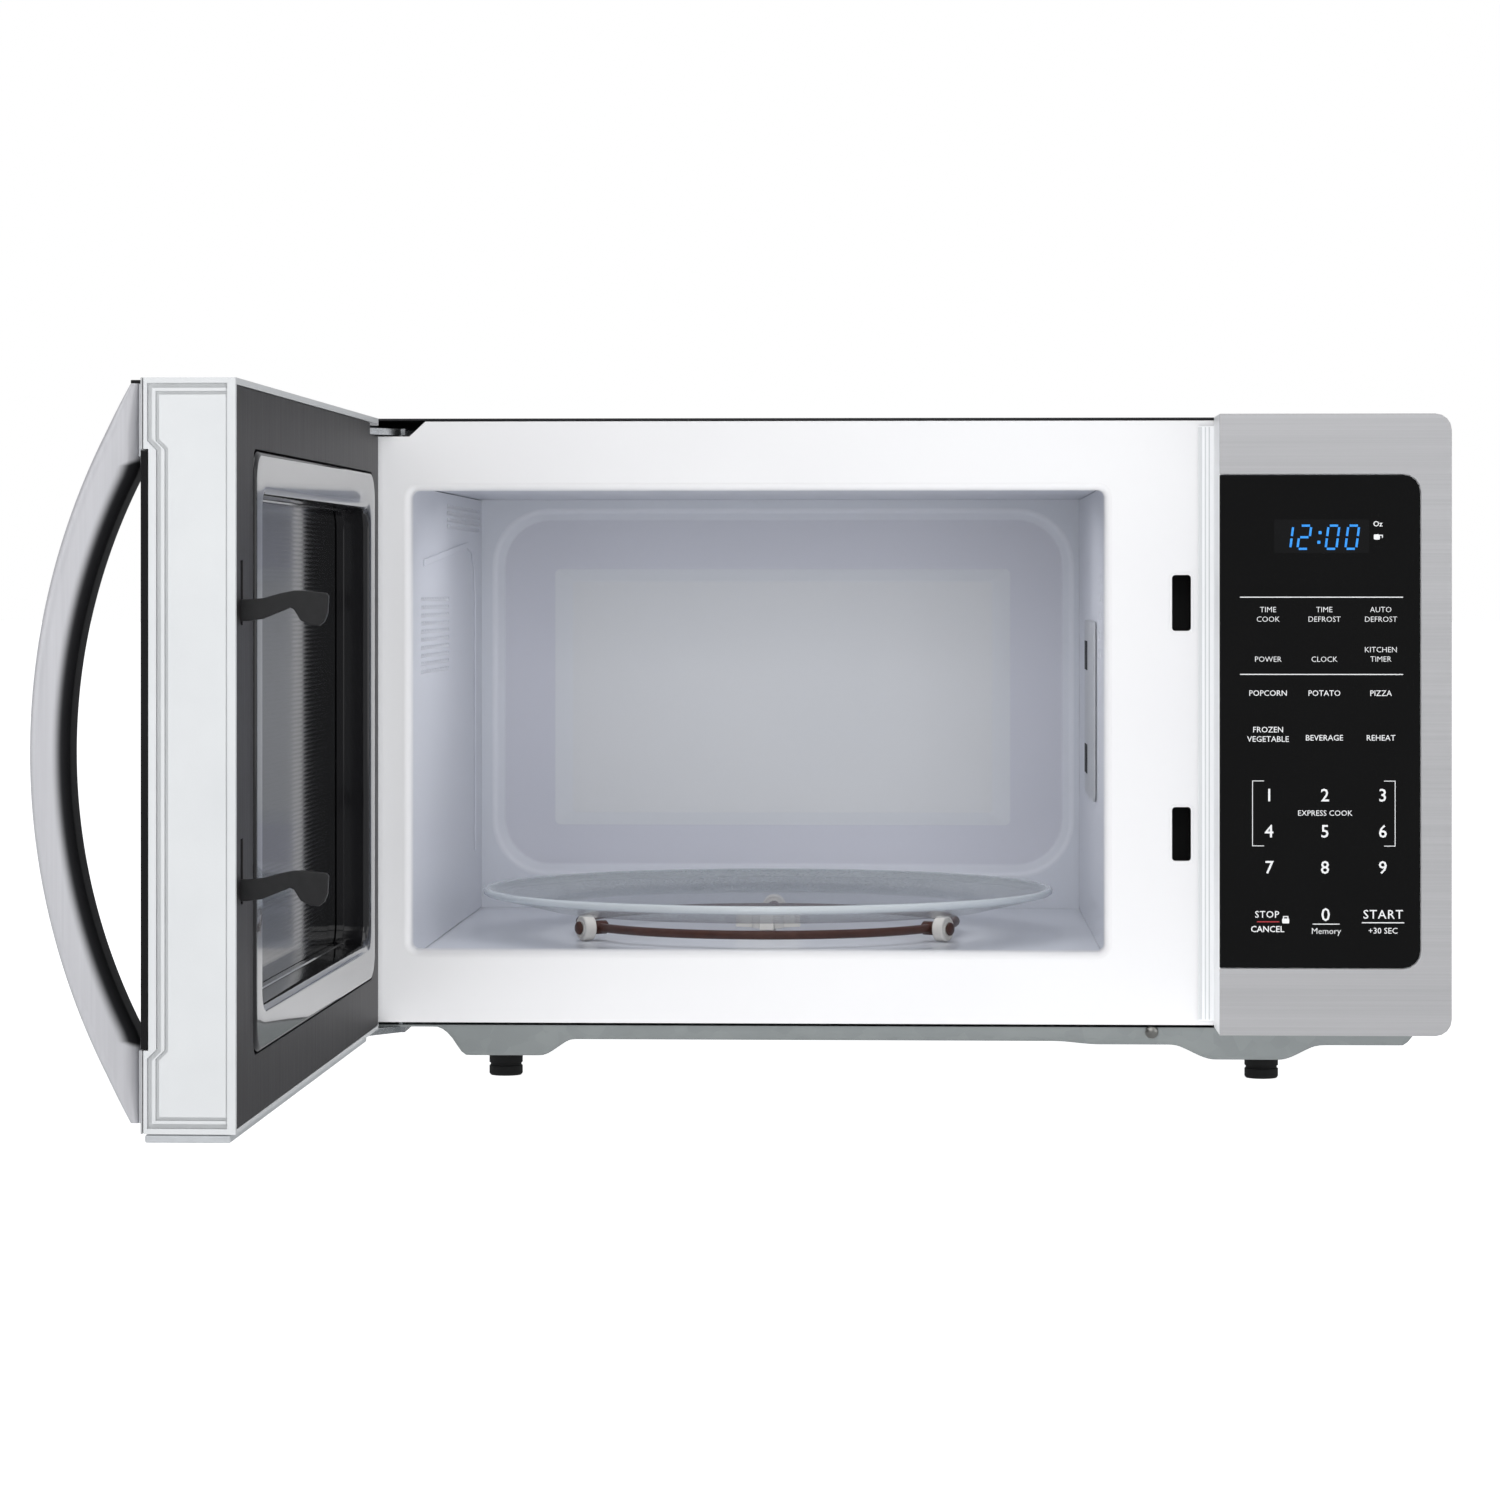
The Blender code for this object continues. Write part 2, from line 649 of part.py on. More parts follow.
def hook(shift):
    """One hook's outline in (Y, Z), from its lower root round its head to its upper root."""
    points = (
        (-7.0, 220.6), (2.0, 220.8), (8.0, 221.6), (18.6, 225.9), (20.0, 225.2), (22.6, 221.0),
        (26.5, 219.3), (29.6, 219.0), (31.6, 220.6), (32.8, 223.6), (33.2, 230.4), (32.2, 231.5),
        (24.0, 232.4), (20.0, 232.4), (15.0, 231.4), (8.0, 229.5), (2.0, 229.0), (-7.0, 229.0),
    )
    return [(DOOR_INNER + reach, height + shift) for reach, height in points]


def latch(swing, pin):
    slide = empty("latch_slide", (LATCH_X - HINGE_X, -19.0 - HINGE_Y, 175.0), swing)
    pivot = (LATCH_X, -19.0, 175.0)
    outline = [(-29.0, 104.0), (-9.0, 104.0)]
    outline += hook(-106.0)
    outline += hook(0.0)
    outline += [(-9.0, 246.0), (-29.0, 246.0)]
    shape = upright(flat_shape(outline, LATCH_THICK), LATCH_X)
    node("latch_lever", shape, BLACK_PLASTIC, slide, pivot)

    coil = bpy.data.curves.new("latch_spring_path", "CURVE")
    coil.dimensions = "3D"
    coil.bevel_depth = 0.5 * MM
    coil.bevel_resolution = 0
    coil.use_fill_caps = True
    path = coil.splines.new("POLY")
    steps = 60
    path.points.add(steps)
    for index, knot in enumerate(path.points):
        angle = 2 * math.pi * index / 12
        height = 247.0 + 18.5 * index / steps
        knot.co = (3.0 * MM * math.cos(angle), 3.0 * MM * math.sin(angle), (height - 175) * MM, 1)
    holder = bpy.data.objects.new("latch_spring_path", coil)
    CUTTERS.objects.link(holder)
    bpy.context.view_layer.update()
    graph = bpy.context.evaluated_depsgraph_get()
    mesh = bpy.data.meshes.new_from_object(holder.evaluated_get(graph))
    shape = bmesh.new()
    shape.from_mesh(mesh)
    bpy.data.objects.remove(holder)
    bpy.data.meshes.remove(mesh)
    bmesh.ops.remove_doubles(shape, verts=shape.verts, dist=0.00001)
    node("latch_spring", shape, ZINC, slide)


# ---------------------------------------------------------------- control panel

def control_panel():
    right = lambda middle: middle.x > 200
    shape = rounded(
        (PANEL_LEFT, -36.6, PANEL_BOTTOM), (HALF_WIDTH, -0.4, PANEL_TOP), (0, 1, 0),
        PANEL_CORNER, 4, right,
    )
    frame = node("panel_frame", shape, WHITE_PLASTIC)
    join(frame, block((147.3, -1.6, 32), (156.0, -0.4, 309)))
    cut(frame, rounded((157.3, -33.5, 31.3), (258, 5, 310.7), (0, 1, 0), 5.0, 3, right))
    cut(frame, block((176, -50, 243), (228, -30, 268)))

    shape = rounded(
        (PANEL_LEFT, PANEL_FACE, PANEL_BOTTOM), (HALF_WIDTH, -37.0, PANEL_TOP), (0, 1, 0),
        PANEL_CORNER, 4, right,
    )
    fascia = node("panel_fascia", shape, BRUSHED_STEEL)
    cut(fascia, rounded((140, -50, 59.4), (246.5, -30, 285.6), (0, 1, 0), 8.3, 4, right))
    shape = rounded(
        (PANEL_LEFT, PANEL_FACE, 59.7), (246.2, -37.0, 285.3), (0, 1, 0), 8.0, 4, right,
    )
    node("panel_glass", shape, BLACK_GLASS)

    display = node("display_module", block((178, -36.2, 245), (226, -24, 266)), DISPLAY)
    join(display, block((172, -27, 240), (232, -25, 272)))
    board = node("control_board", block((162, -20, 50), (254, -18.4, 292)), BOARD_GREEN)
    join(board, block((170, -19, 200), (190, -5, 230)))
    join(board, block((195, -19, 200), (215, -5, 230)))
    join(board, block((175, -19, 90), (225, -3, 150)))
    join(board, rod(6.0, (240, -19, 170), 14, "Y", 12))


# ---------------------------------------------------------------- inside the case

def latch_board():
    made = node("latch_board", block((132.4, 1.6, 92), (150, 45, 255)), BLACK_PLASTIC)
    cut(made, block((134.6, -5, 211), (145.6, 39, 242)))
    cut(made, block((134.6, -5, 104), (145.6, 39, 134)))
    cut(made, block((134.6, 8, 140), (145.6, 60, 205)))
    for name, z in (("switch_lower", 110), ("switch_middle", 160), ("switch_upper", 216)):
        switch = node(name, block((150.6, 8, z), (161, 36, z + 18)), BROWN_PLASTIC)
        join(switch, block((154, 34, z + 3), (155, 44, z + 8)))
        join(switch, block((154, 34, z + 11), (155, 44, z + 16)))


def microwave_source():
    guide = node("waveguide", block((106.6, 120, 131), (140, 230, 262)), GALVANISED)
    cut(guide, block((100, 121.2, 132.2), (138.8, 228.8, 260.8)))
    cut(guide, rod(12.0, (130, 175, 235), 20, "X", 20))
    tube = node("magnetron", block((140.6, 130, 192), (225, 220, 278)), PAINTED_STEEL)
    cut(tube, slots((148, 120, 200), (218, 230, 208), (0, 0, 13), 6))
    join(tube, rod(9.0, (118, 175, 235), 25, "X", 20))
    join(tube, block((160, 150, 198), (206, 200, 276)))
    join(tube, block((165, 160, 276), (200, 190, 284)))


def power_parts():
    core = node("transformer", block((150, 62, 23.5), (232, 152, 92)), PAINTED_STEEL)
    join(core, rounded((160, 44, 30), (222, 170, 80), (0, 1, 0), 10, 3))
    can = node("capacitor", rounded((158, 206, 24), (244, 256, 60), (0, 1, 0), 16, 4), ALUMINIUM)
    join(can, block((175, 254, 34), (181, 264, 42)))
    join(can, block((220, 254, 34), (226, 264, 42)))
    diode = node("diode", rod(4.0, (175, 285, 29), 20, "X", 12), BLACK_PLASTIC)
    join(diode, block((193, 281, 25), (201, 289, 33)))
    board = node("filter_board", block((120, 250, 292), (250, 330, 293.6)), BOARD_GREEN)
    join(board, rod(12.0, (150, 290, 293), 12, "Z", 16))
    join(board, block((180, 265, 293), (225, 285, 303)))
    join(board, rod(3.0, (180, 305, 297), 30, "X", 10))
    join(board, block((183, 303, 293), (186, 307, 298)))
    join(board, block((204, 303, 293), (207, 307, 298)))
    cutout = node("thermal_cutout", rod(8.0, (-60, 200, 283.6), 5, "Z", 16), BLACK_PLASTIC)
    join(cutout, block((-69, 199.5, 287), (-64, 200.5, 295)))
    join(cutout, block((-56, 199.5, 287), (-51, 200.5, 295)))
    lamp = node("cavity_lamp", rod(9.0, (112, 78, 220), 22, "X", 16), LAMP_GLASS)
    join(lamp, rod(6.0, (107.5, 78, 220), 6, "X", 16, end_radius=9.0))
    join(lamp, block((133, 68, 210), (146, 88, 230)))
    motor = node("turntable_motor", rod(24.5, (TRAY_X, TRAY_Y, 36), 18, "Z", 28), GALVANISED)
    join(motor, block((TRAY_X - 32, TRAY_Y - 5, 52.6), (TRAY_X + 32, TRAY_Y + 5, 54)))


def cooling_fan():
    motor = node("fan_motor", block((160, 296, 176), (210, 322, 224)), PAINTED_STEEL)
    join(motor, rod(16.0, (FAN_X, 290, FAN_Z), 38, "Y", 20))
    join(motor, rod(2.0, (FAN_X, 320, FAN_Z), 30, "Y", 12))
    shroud = node("fan_shroud", block((112, 352, 140), (256, 353.6, 264)), BLACK_PLASTIC)
    join(shroud, rod(53.0, (FAN_X, 334, FAN_Z), 19, "Y", 32))
    cut(shroud, rod(51.0, (FAN_X, 320, FAN_Z), 50, "Y", 32))
    spin = empty("fan_axis", (FAN_X, 340, FAN_Z), ROOT)
    blade = node("fan_blade", rod(12.0, (0, -6.5, 0), 13, "Y", 20), BLACK_PLASTIC, spin)
    for index in range(5):
        wing = block((9, -0.8, -14), (47, 0.8, 14))
        tilt = Matrix.Rotation(math.radians(24), 3, "X")
        turn = Matrix.Rotation(math.radians(72 * index), 3, "Y")
        bmesh.ops.rotate(wing, cent=(0, 0, 0), matrix=turn @ tilt, verts=wing.verts)
        join(blade, wing)
    cut(blade, rod(2.4, (0, -30, 0), 60, "Y", 12))


def stand_on_origin():
    """Move everything so the middle of the bottom of the whole object is at the origin."""
    bpy.context.view_layer.update()
    graph = bpy.context.evaluated_depsgraph_get()
    corners = []
    for item in PARTS.objects:
        if item.type == "MESH":
            ready = item.evaluated_get(graph)
            mesh = ready.to_mesh()
            corners += [ready.matrix_world @ point.co for point in mesh.vertices]
            ready.to_mesh_clear()
    low = [min(point[axis] for point in corners) for axis in range(3)]
    high = [max(point[axis] for point in corners) for axis in range(3)]
    ROOT.location = (-(low[0] + high[0]) / 2, -(low[1] + high[1]) / 2, -low[2])
    bpy.context.view_layer.update()


clear_scene()
PARTS = collection("microwave_oven", False)
CUTTERS = collection("cutters", True)
ROOT = empty("microwave_oven_origin", (0, 0, 0))

BLACK_PAINT = material("black_paint", (0.02, 0.02, 0.022), 0.4, 0.0)
WHITE_ENAMEL = material("white_enamel", (0.86, 0.86, 0.85), 0.25, 0.0)
CAVITY_ENAMEL = material("cavity_enamel", (0.42, 0.44, 0.47), 0.3, 0.0)
GALVANISED = material("galvanised_steel", (0.55, 0.56, 0.57), 0.4, 1.0)
PAINTED_STEEL = material("painted_steel", (0.2, 0.2, 0.21), 0.45, 0.0)
BRUSHED_STEEL = material("brushed_steel", (0.6, 0.6, 0.6), 0.3, 1.0)
ZINC = material("zinc_steel", (0.6, 0.6, 0.58), 0.35, 1.0)
ALUMINIUM = material("aluminium", (0.75, 0.75, 0.76), 0.35, 1.0)
WHITE_PLASTIC = material("white_plastic", (0.85, 0.85, 0.84), 0.4, 0.0)
SILVER_PLASTIC = material("silver_plastic", (0.6, 0.61, 0.62), 0.35, 0.6)
BLACK_PLASTIC = material("black_plastic", (0.03, 0.03, 0.03), 0.5, 0.0)
BLACK_GLOSS = material("black_gloss", (0.015, 0.015, 0.015), 0.1, 0.0)
BROWN_GREY = material("brown_grey_plastic", (0.07, 0.062, 0.064), 0.5, 0.0)
BROWN_PLASTIC = material("brown_plastic", (0.06, 0.03, 0.025), 0.45, 0.0)
WHITE_NYLON = material("white_nylon", (0.75, 0.73, 0.7), 0.45, 0.0)
BLACK_GLASS = material("black_glass", (0.01, 0.01, 0.011), 0.05, 0.0)
DARK_FILM = material("dark_film", (0.02, 0.02, 0.022), 0.1, 0.0)
CLEAR_GLASS = material("clear_glass", (0.85, 0.9, 0.9), 0.05, 0.0)
BLACK_RUBBER = material("black_rubber", (0.02, 0.02, 0.02), 0.7, 0.0)
MICA = material("mica", (0.5, 0.5, 0.5), 0.4, 0.0)
BOARD_GREEN = material("board_green", (0.05, 0.2, 0.08), 0.5, 0.0)
DISPLAY = material("display_blue", (0.02, 0.15, 0.4), 0.3, 0.0)
LAMP_GLASS = material("lamp_glass", (0.9, 0.85, 0.7), 0.2, 0.0)

outer_cabinet()
front_plate()
rear_panel()
base_pan()
feet()
hinges()
cavity_walls()
turntable()
door_pieces()
control_panel()
latch_board()
microwave_source()
power_parts()
cooling_fan()
stand_on_origin()
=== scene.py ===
import json
import math

import bmesh
import bpy
from mathutils import Matrix, Vector


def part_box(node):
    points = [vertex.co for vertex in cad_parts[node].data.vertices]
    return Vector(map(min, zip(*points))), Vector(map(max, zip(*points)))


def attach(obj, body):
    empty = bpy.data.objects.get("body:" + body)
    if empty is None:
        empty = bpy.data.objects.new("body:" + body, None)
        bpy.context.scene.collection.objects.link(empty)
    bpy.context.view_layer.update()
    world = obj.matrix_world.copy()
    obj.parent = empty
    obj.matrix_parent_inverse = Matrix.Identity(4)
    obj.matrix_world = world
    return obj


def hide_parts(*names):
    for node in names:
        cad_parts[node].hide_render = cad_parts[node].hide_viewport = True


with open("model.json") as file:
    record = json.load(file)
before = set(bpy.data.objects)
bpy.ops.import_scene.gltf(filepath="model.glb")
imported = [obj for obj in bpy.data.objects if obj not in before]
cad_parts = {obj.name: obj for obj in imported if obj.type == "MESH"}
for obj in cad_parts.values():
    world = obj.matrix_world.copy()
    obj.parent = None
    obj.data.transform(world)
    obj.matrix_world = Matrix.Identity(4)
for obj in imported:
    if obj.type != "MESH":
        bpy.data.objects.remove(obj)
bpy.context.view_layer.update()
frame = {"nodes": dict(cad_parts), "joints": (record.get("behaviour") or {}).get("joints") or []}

# ---- Studio -------------------------------------------------------------------------------
# A level camera two metres in front of the case, turned a little to the left, over a plain
# pale floor, with wide soft lights above and to both sides. None of it is part of the oven.
MM = 0.001
plate_low, plate_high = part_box("front_plate")
CASE_PLACE = Vector(((plate_low.x + plate_high.x) / 2, plate_low.y, 0.0))


def place(x, y, z):
    """A point in millimetres from the middle of the front plate's face, at floor level."""
    return CASE_PLACE + Vector((x, y, z)) * MM


def put_in_scene(thing):
    bpy.context.scene.collection.objects.link(thing)
    return thing


def soft_light(name, where, width, height, power, aim=(0.0, 150.0, 170.0)):
    lamp = bpy.data.lights.new(name, "AREA")
    lamp.shape = "RECTANGLE"
    lamp.size = width
    lamp.size_y = height
    lamp.energy = power
    holder = put_in_scene(bpy.data.objects.new(name, lamp))
    holder.location = place(*where)
    direction = place(*aim) - place(*where)
    holder.rotation_euler = direction.to_track_quat("-Z", "Y").to_euler()


view = bpy.data.cameras.new("studio_camera")
view.sensor_width = 36.0
view.lens = 106.06
view.shift_y = -0.1067
camera = put_in_scene(bpy.data.objects.new("studio_camera", view))
camera.location = place(16.0, -2066.0, 232.6)
camera.rotation_euler = (math.radians(90.0), 0.0, math.radians(2.15))
bpy.context.scene.camera = camera
bpy.context.scene.view_settings.view_transform = "Standard"

soft_light("top_softbox", (100, -700, 2300), 2.6, 2.2, 15.0)
soft_light("front_softbox", (-500, -2600, 1500), 2.4, 1.4, 11.0)
soft_light("left_softbox", (-2300, -500, 900), 1.6, 1.8, 5.0)
soft_light("right_softbox", (2300, -600, 900), 1.6, 1.8, 5.0)
soft_light("front_fill", (0, -2500, 330), 1.6, 1.2, 28.5)
soft_light("cavity_fill", (-59, 130, 278), 0.26, 0.2, 0.34, (-59, 150, 60))
for unseen in ("front_fill", "cavity_fill"):
    bpy.data.objects[unseen].visible_glossy = False
    bpy.data.objects[unseen].visible_camera = False

sky = bpy.data.worlds.new("studio_surround")
sky.use_nodes = True
bpy.context.scene.world = sky
surround = sky.node_tree.nodes["Background"]
rays = sky.node_tree.nodes.new("ShaderNodeLightPath")
shown = sky.node_tree.nodes.new("ShaderNodeMix")
shown.data_type = "RGBA"
shown.inputs[6].default_value = (0.3, 0.305, 0.315, 1.0)
shown.inputs[7].default_value = (1.0, 1.0, 1.0, 1.0)
sky.node_tree.links.new(rays.outputs["Is Camera Ray"], shown.inputs[0])
sky.node_tree.links.new(shown.outputs[2], surround.inputs["Color"])

floor_shape = bmesh.new()
bmesh.ops.create_grid(floor_shape, x_segments=1, y_segments=1, size=30.0)
floor_mesh = bpy.data.meshes.new("floor")
floor_shape.to_mesh(floor_mesh)
floor_shape.free()
floor = put_in_scene(bpy.data.objects.new("floor", floor_mesh))
floor_paint = bpy.data.materials.new("pale_floor")
floor_paint.use_nodes = True
floor_paint.node_tree.nodes["Principled BSDF"].inputs["Base Color"].default_value = (0.93, 0.93, 0.93, 1.0)
floor_paint.node_tree.nodes["Principled BSDF"].inputs["Roughness"].default_value = 0.8
floor_paint.node_tree.nodes["Principled BSDF"].inputs["Emission Color"].default_value = (1.0, 1.0, 1.0, 1.0)
floor_paint.node_tree.nodes["Principled BSDF"].inputs["Emission Strength"].default_value = 0.9
floor_mesh.materials.append(floor_paint)
floor.visible_glossy = False


# ---- Base pan -----------------------------------------------------------------------------
# The oven stands on a pan pressed from galvanised sheet, with a deep rounded pocket drawn down
# round each foot. Its flange is screwed up under the cabinet.
class Reading:
    """One output of a node. Sums written with it add their Math nodes."""

    def __init__(self, tree, socket):
        self.tree = tree
        self.socket = socket

    def maths(self, operation, other=None):
        step = self.tree.nodes.new("ShaderNodeMath")
        step.operation = operation
        for entry, value in zip(step.inputs, (self, other)):
            if isinstance(value, Reading):
                self.tree.links.new(value.socket, entry)
            elif value is not None:
                entry.default_value = value
        return Reading(self.tree, step.outputs[0])

    def __add__(self, other):
        return self.maths("ADD", other)

    def __mul__(self, other):
        return self.maths("MULTIPLY", other)

    def __sub__(self, other):
        return self.maths("SUBTRACT", other)

    def __truediv__(self, other):
        return self.maths("DIVIDE", other)

    def __pow__(self, other):
        return self.maths("POWER", other)


def paint(red, green, blue):
    """A colour as it looks on a swatch, 0 to 255, made linear."""
    parts = [part / 255.0 for part in (red, green, blue)]
    linear = [p / 12.92 if p <= 0.04045 else ((p + 0.055) / 1.055) ** 2.4 for p in parts]
    return (*linear, 1.0)


class Finish:
    """A material: one Principled shader, and nodes that vary it over the surface."""

    def __init__(self, name, metallic=0.0, fixed=None):
        self.material = bpy.data.materials.new(name)
        self.material.use_nodes = True
        self.tree = self.material.node_tree
        self.shader = self.tree.nodes["Principled BSDF"]
        self.shader.inputs["Metallic"].default_value = metallic
        for socket, value in (fixed or {}).items():
            self.shader.inputs[socket].default_value = value

    def node(self, kind, settings=None, sockets=None, output=0):
        step = self.tree.nodes.new("ShaderNode" + kind)
        for key, value in (settings or {}).items():
            if key == "stops":
                for index, (where, colour) in enumerate(value):
                    points = step.color_ramp.elements
                    point = points[index] if index < 2 else points.new(where)
                    point.position = where
                    point.color = colour
            else:
                setattr(step, key, value)
        for key, value in (sockets or {}).items():
            if isinstance(value, Reading):
                self.tree.links.new(value.socket, step.inputs[key])
            else:
                step.inputs[key].default_value = value
        return Reading(self.tree, step.outputs[output])

    def spot(self, scale=1.0):
        """Where a point lies on the object, stretched by one scale or by three."""
        here = self.node("TexCoord", output=3)
        if isinstance(scale, float):
            scale = (scale, scale, scale)
        return self.node("Mapping", None, {"Vector": here, "Scale": scale})

    def noise(self, scale, detail=3.0, rough=0.55):
        """Cloudy grain: scale is cells per metre along X, Y and Z."""
        return self.node("TexNoise", None, {
            "Vector": self.spot(scale), "Scale": 1.0, "Detail": detail, "Roughness": rough,
        })

    def axis(self, letter):
        """The point's distance along X, Y or Z, in metres."""
        return self.node("SeparateXYZ", None, {0: self.spot()}, "XYZ".index(letter))

    def blend(self, factor, first, second):
        return self.node(
            "Mix", {"data_type": "RGBA"}, {0: factor, 6: first, 7: second}, 2,
        )

    def feed(self, socket, value):
        self.tree.links.new(value.socket, self.shader.inputs[socket])
        return self

    def relief(self, height, distance, strength=1.0):
        """Fine surface relief, distance in metres."""
        return self.feed("Normal", self.node("Bump", None, {
            "Strength": strength, "Distance": distance, "Height": height,
        }))


def grained(name, dark, light, smooth, rough, metallic=0.0, grain=60.0, depth=0.0,
            detail=3.0, fixed=None):
    """A finish whose colour and sheen wander between two values with its grain."""
    made = Finish(name, metallic, fixed)
    cloud = made.noise(grain, detail)
    made.feed("Base Color", made.blend(cloud, paint(*dark), paint(*light)))
    made.feed("Roughness", cloud * (rough - smooth) + smooth)
    if depth:
        made.relief(cloud, depth)
    return made


def stand(shape):
    """Move a shape made from the case's datum to where the case stands."""
    bmesh.ops.translate(shape, vec=CASE_PLACE, verts=shape.verts)
    return shape


def new_piece(name, shape, finish, smooth=35.0):
    """A piece from a finished shape, smooth except where its faces meet sharply."""
    for face in shape.faces:
        face.smooth = True
    for edge in shape.edges:
        edge.smooth = len(edge.link_faces) == 2 and edge.calc_face_angle() < math.radians(smooth)
    mesh = bpy.data.meshes.new(name)
    shape.to_mesh(mesh)
    shape.free()
    mesh.materials.append(finish.material)
    piece = put_in_scene(bpy.data.objects.new(name, mesh))
    evened = piece.modifiers.new("even_normals", "WEIGHTED_NORMAL")
    evened.keep_sharp = True
    evened.weight = 100
    return piece


def fit(piece, body, slot, *nodes):
    """The piece rides on a body and may stand for solids of the model. The slot is not used."""
    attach(piece, body)
    if nodes:
        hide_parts(*nodes)
    return piece


def step_up(value, start, end):
    """0 before start, 1 after end, and smooth between them."""
    share = min(1.0, max(0.0, (value - start) / (end - start)))
    return share * share * (3.0 - 2.0 * share)


PAN_TOP = 28.3
PAN_DROP = 6.2
PAN_SHEET = 0.9
PAN_ENDS = ((-212.0, -196.0), (243.0, 252.0))
POCKETS = ((-209.0, -195.0, -161.0, -144.0, 8.0), (134.0, 156.0, 186.0, 207.0, 7.2))


def pan_level(x, y):
    """How high the pressed sheet lies at a point of the pan."""
    across = step_up(x, *PAN_ENDS[0]) * (1.0 - step_up(x, *PAN_ENDS[1]))
    along = step_up(y, 3.4, 8.5) * (1.0 - step_up(y, 366.0, 374.0))
    front = step_up(y, 4.5, 12.0) * (1.0 - step_up(y, 72.0, 92.0))
    rear = step_up(y, 288.0, 308.0) * (1.0 - step_up(y, 360.0, 370.0))
    deep = sum(
        drop * step_up(x, left, left_foot) * (1.0 - step_up(x, right_foot, right))
        for left, left_foot, right_foot, right, drop in POCKETS
    )
    ridge = 1.5 * step_up(x, 80.0, 102.0)
    return PAN_TOP - across * along * (PAN_DROP + ridge + deep * (front + rear))


pan_shape = bmesh.new()
bmesh.ops.create_grid(pan_shape, x_segments=240, y_segments=130, size=0.5)
bmesh.ops.scale(pan_shape, vec=(517.0 * MM, 372.0 * MM, 1.0), verts=pan_shape.verts)
bmesh.ops.translate(pan_shape, vec=(0.0, 189.4 * MM, 0.0), verts=pan_shape.verts)
for corner in pan_shape.verts:
    corner.co.z = pan_level(corner.co.x / MM, corner.co.y / MM) * MM
bmesh.ops.solidify(pan_shape, geom=pan_shape.faces, thickness=PAN_SHEET * MM)
bmesh.ops.recalc_face_normals(pan_shape, faces=pan_shape.faces)

galvanised = Finish("galvanised_sheet", 0.4)
spangle = galvanised.node("TexVoronoi", {"feature": "F1"}, {
    "Vector": galvanised.spot(140.0), "Scale": 1.0,
}, 1)
spangle_tone = galvanised.node("SeparateColor", None, {0: spangle}, 0)
spangle_cloud = galvanised.noise(18.0)
galvanised.feed("Base Color", galvanised.blend(
    spangle_tone * 0.3 + spangle_cloud * 0.7, paint(130, 135, 136), paint(152, 157, 157),
))
galvanised.feed("Roughness", spangle_tone * 0.12 + spangle_cloud * 0.15 + 0.26)

pan = new_piece("base_pan_pressing", stand(pan_shape), galvanised, 50.0)
fit(pan, "oven", "galvanised_steel", "base_pan")


# ---- Feet ---------------------------------------------------------------------------------
# Four black rubber feet pushed up into the pan's pockets. Each is turned: a plain drum with a
# groove round it and a softly rounded tread.
def lathe(shape, outline, centre, axis, steps=48):
    """Spin an outline of (radius, height) points about an axis through a centre, all in mm."""
    turn = {
        "X": Matrix.Rotation(math.radians(90.0), 3, "Y"),
        "Y": Matrix.Rotation(math.radians(-90.0), 3, "X"),
        "Z": Matrix.Identity(3),
    }[axis]
    points = [shape.verts.new((radius * MM, 0.0, height * MM)) for radius, height in outline]
    line = [shape.edges.new(pair) for pair in zip(points, points[1:])]
    bmesh.ops.spin(
        shape, geom=points + line, cent=(0, 0, 0), axis=(0, 0, 1), steps=steps,
        angle=2 * math.pi, use_merge=True,
    )
    bmesh.ops.remove_doubles(shape, verts=[v for v in shape.verts if not v.tag], dist=0.000002)
    fresh = [v for v in shape.verts if not v.tag]
    bmesh.ops.rotate(shape, cent=(0, 0, 0), matrix=turn, verts=fresh)
    bmesh.ops.translate(shape, vec=Vector(centre) * MM, verts=fresh)
    for vertex in fresh:
        vertex.tag = True
    bmesh.ops.recalc_face_normals(shape, faces=shape.faces)
    return shape


rubber = grained("black_rubber_skin", (9, 9, 9), (18, 18, 18), 0.55, 0.8,
                 grain=400.0, depth=0.00008)
FOOT_PROFILE = (
    (0.0, 0.5), (6.2, 0.5), (7.3, 0.1), (8.0, 1.0), (8.0, 4.6), (7.4, 5.0), (7.4, 5.8),
    (8.0, 6.2),
)
for foot_node in ("foot_front_left", "foot_front_right", "foot_rear_left", "foot_rear_right"):
    foot_low, foot_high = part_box(foot_node)
    foot_middle = ((foot_low + foot_high) / 2 - CASE_PLACE) / MM
    foot_top = pan_level(foot_middle.x, foot_middle.y) - 0.1
    drum = ((8.0, foot_top - 0.6), (7.4, foot_top), (0.0, foot_top))
    foot_shape = lathe(bmesh.new(), FOOT_PROFILE + drum, (foot_middle.x, foot_middle.y, 0.0), "Z")
    foot = new_piece(foot_node + "_rubber", stand(foot_shape), rubber)
    fit(foot, "oven", "black_rubber", foot_node)


# ---- Outer cabinet and rear panel ---------------------------------------------------------
# One sheet of steel folded over the top and both sides, powder coated black, with louvred slots.
# A plain galvanised panel closes the back and carries the plastic gland for the lead.
def merged_copy(node_name):
    """A solid of the model as one joined shape, with its flat faces whole again."""
    shape = bmesh.new()
    shape.from_mesh(frame["nodes"][node_name].data)
    bmesh.ops.remove_doubles(shape, verts=shape.verts, dist=0.00001)
    bmesh.ops.dissolve_limit(
        shape, angle_limit=math.radians(0.5), verts=shape.verts, edges=shape.edges,
    )
    return shape


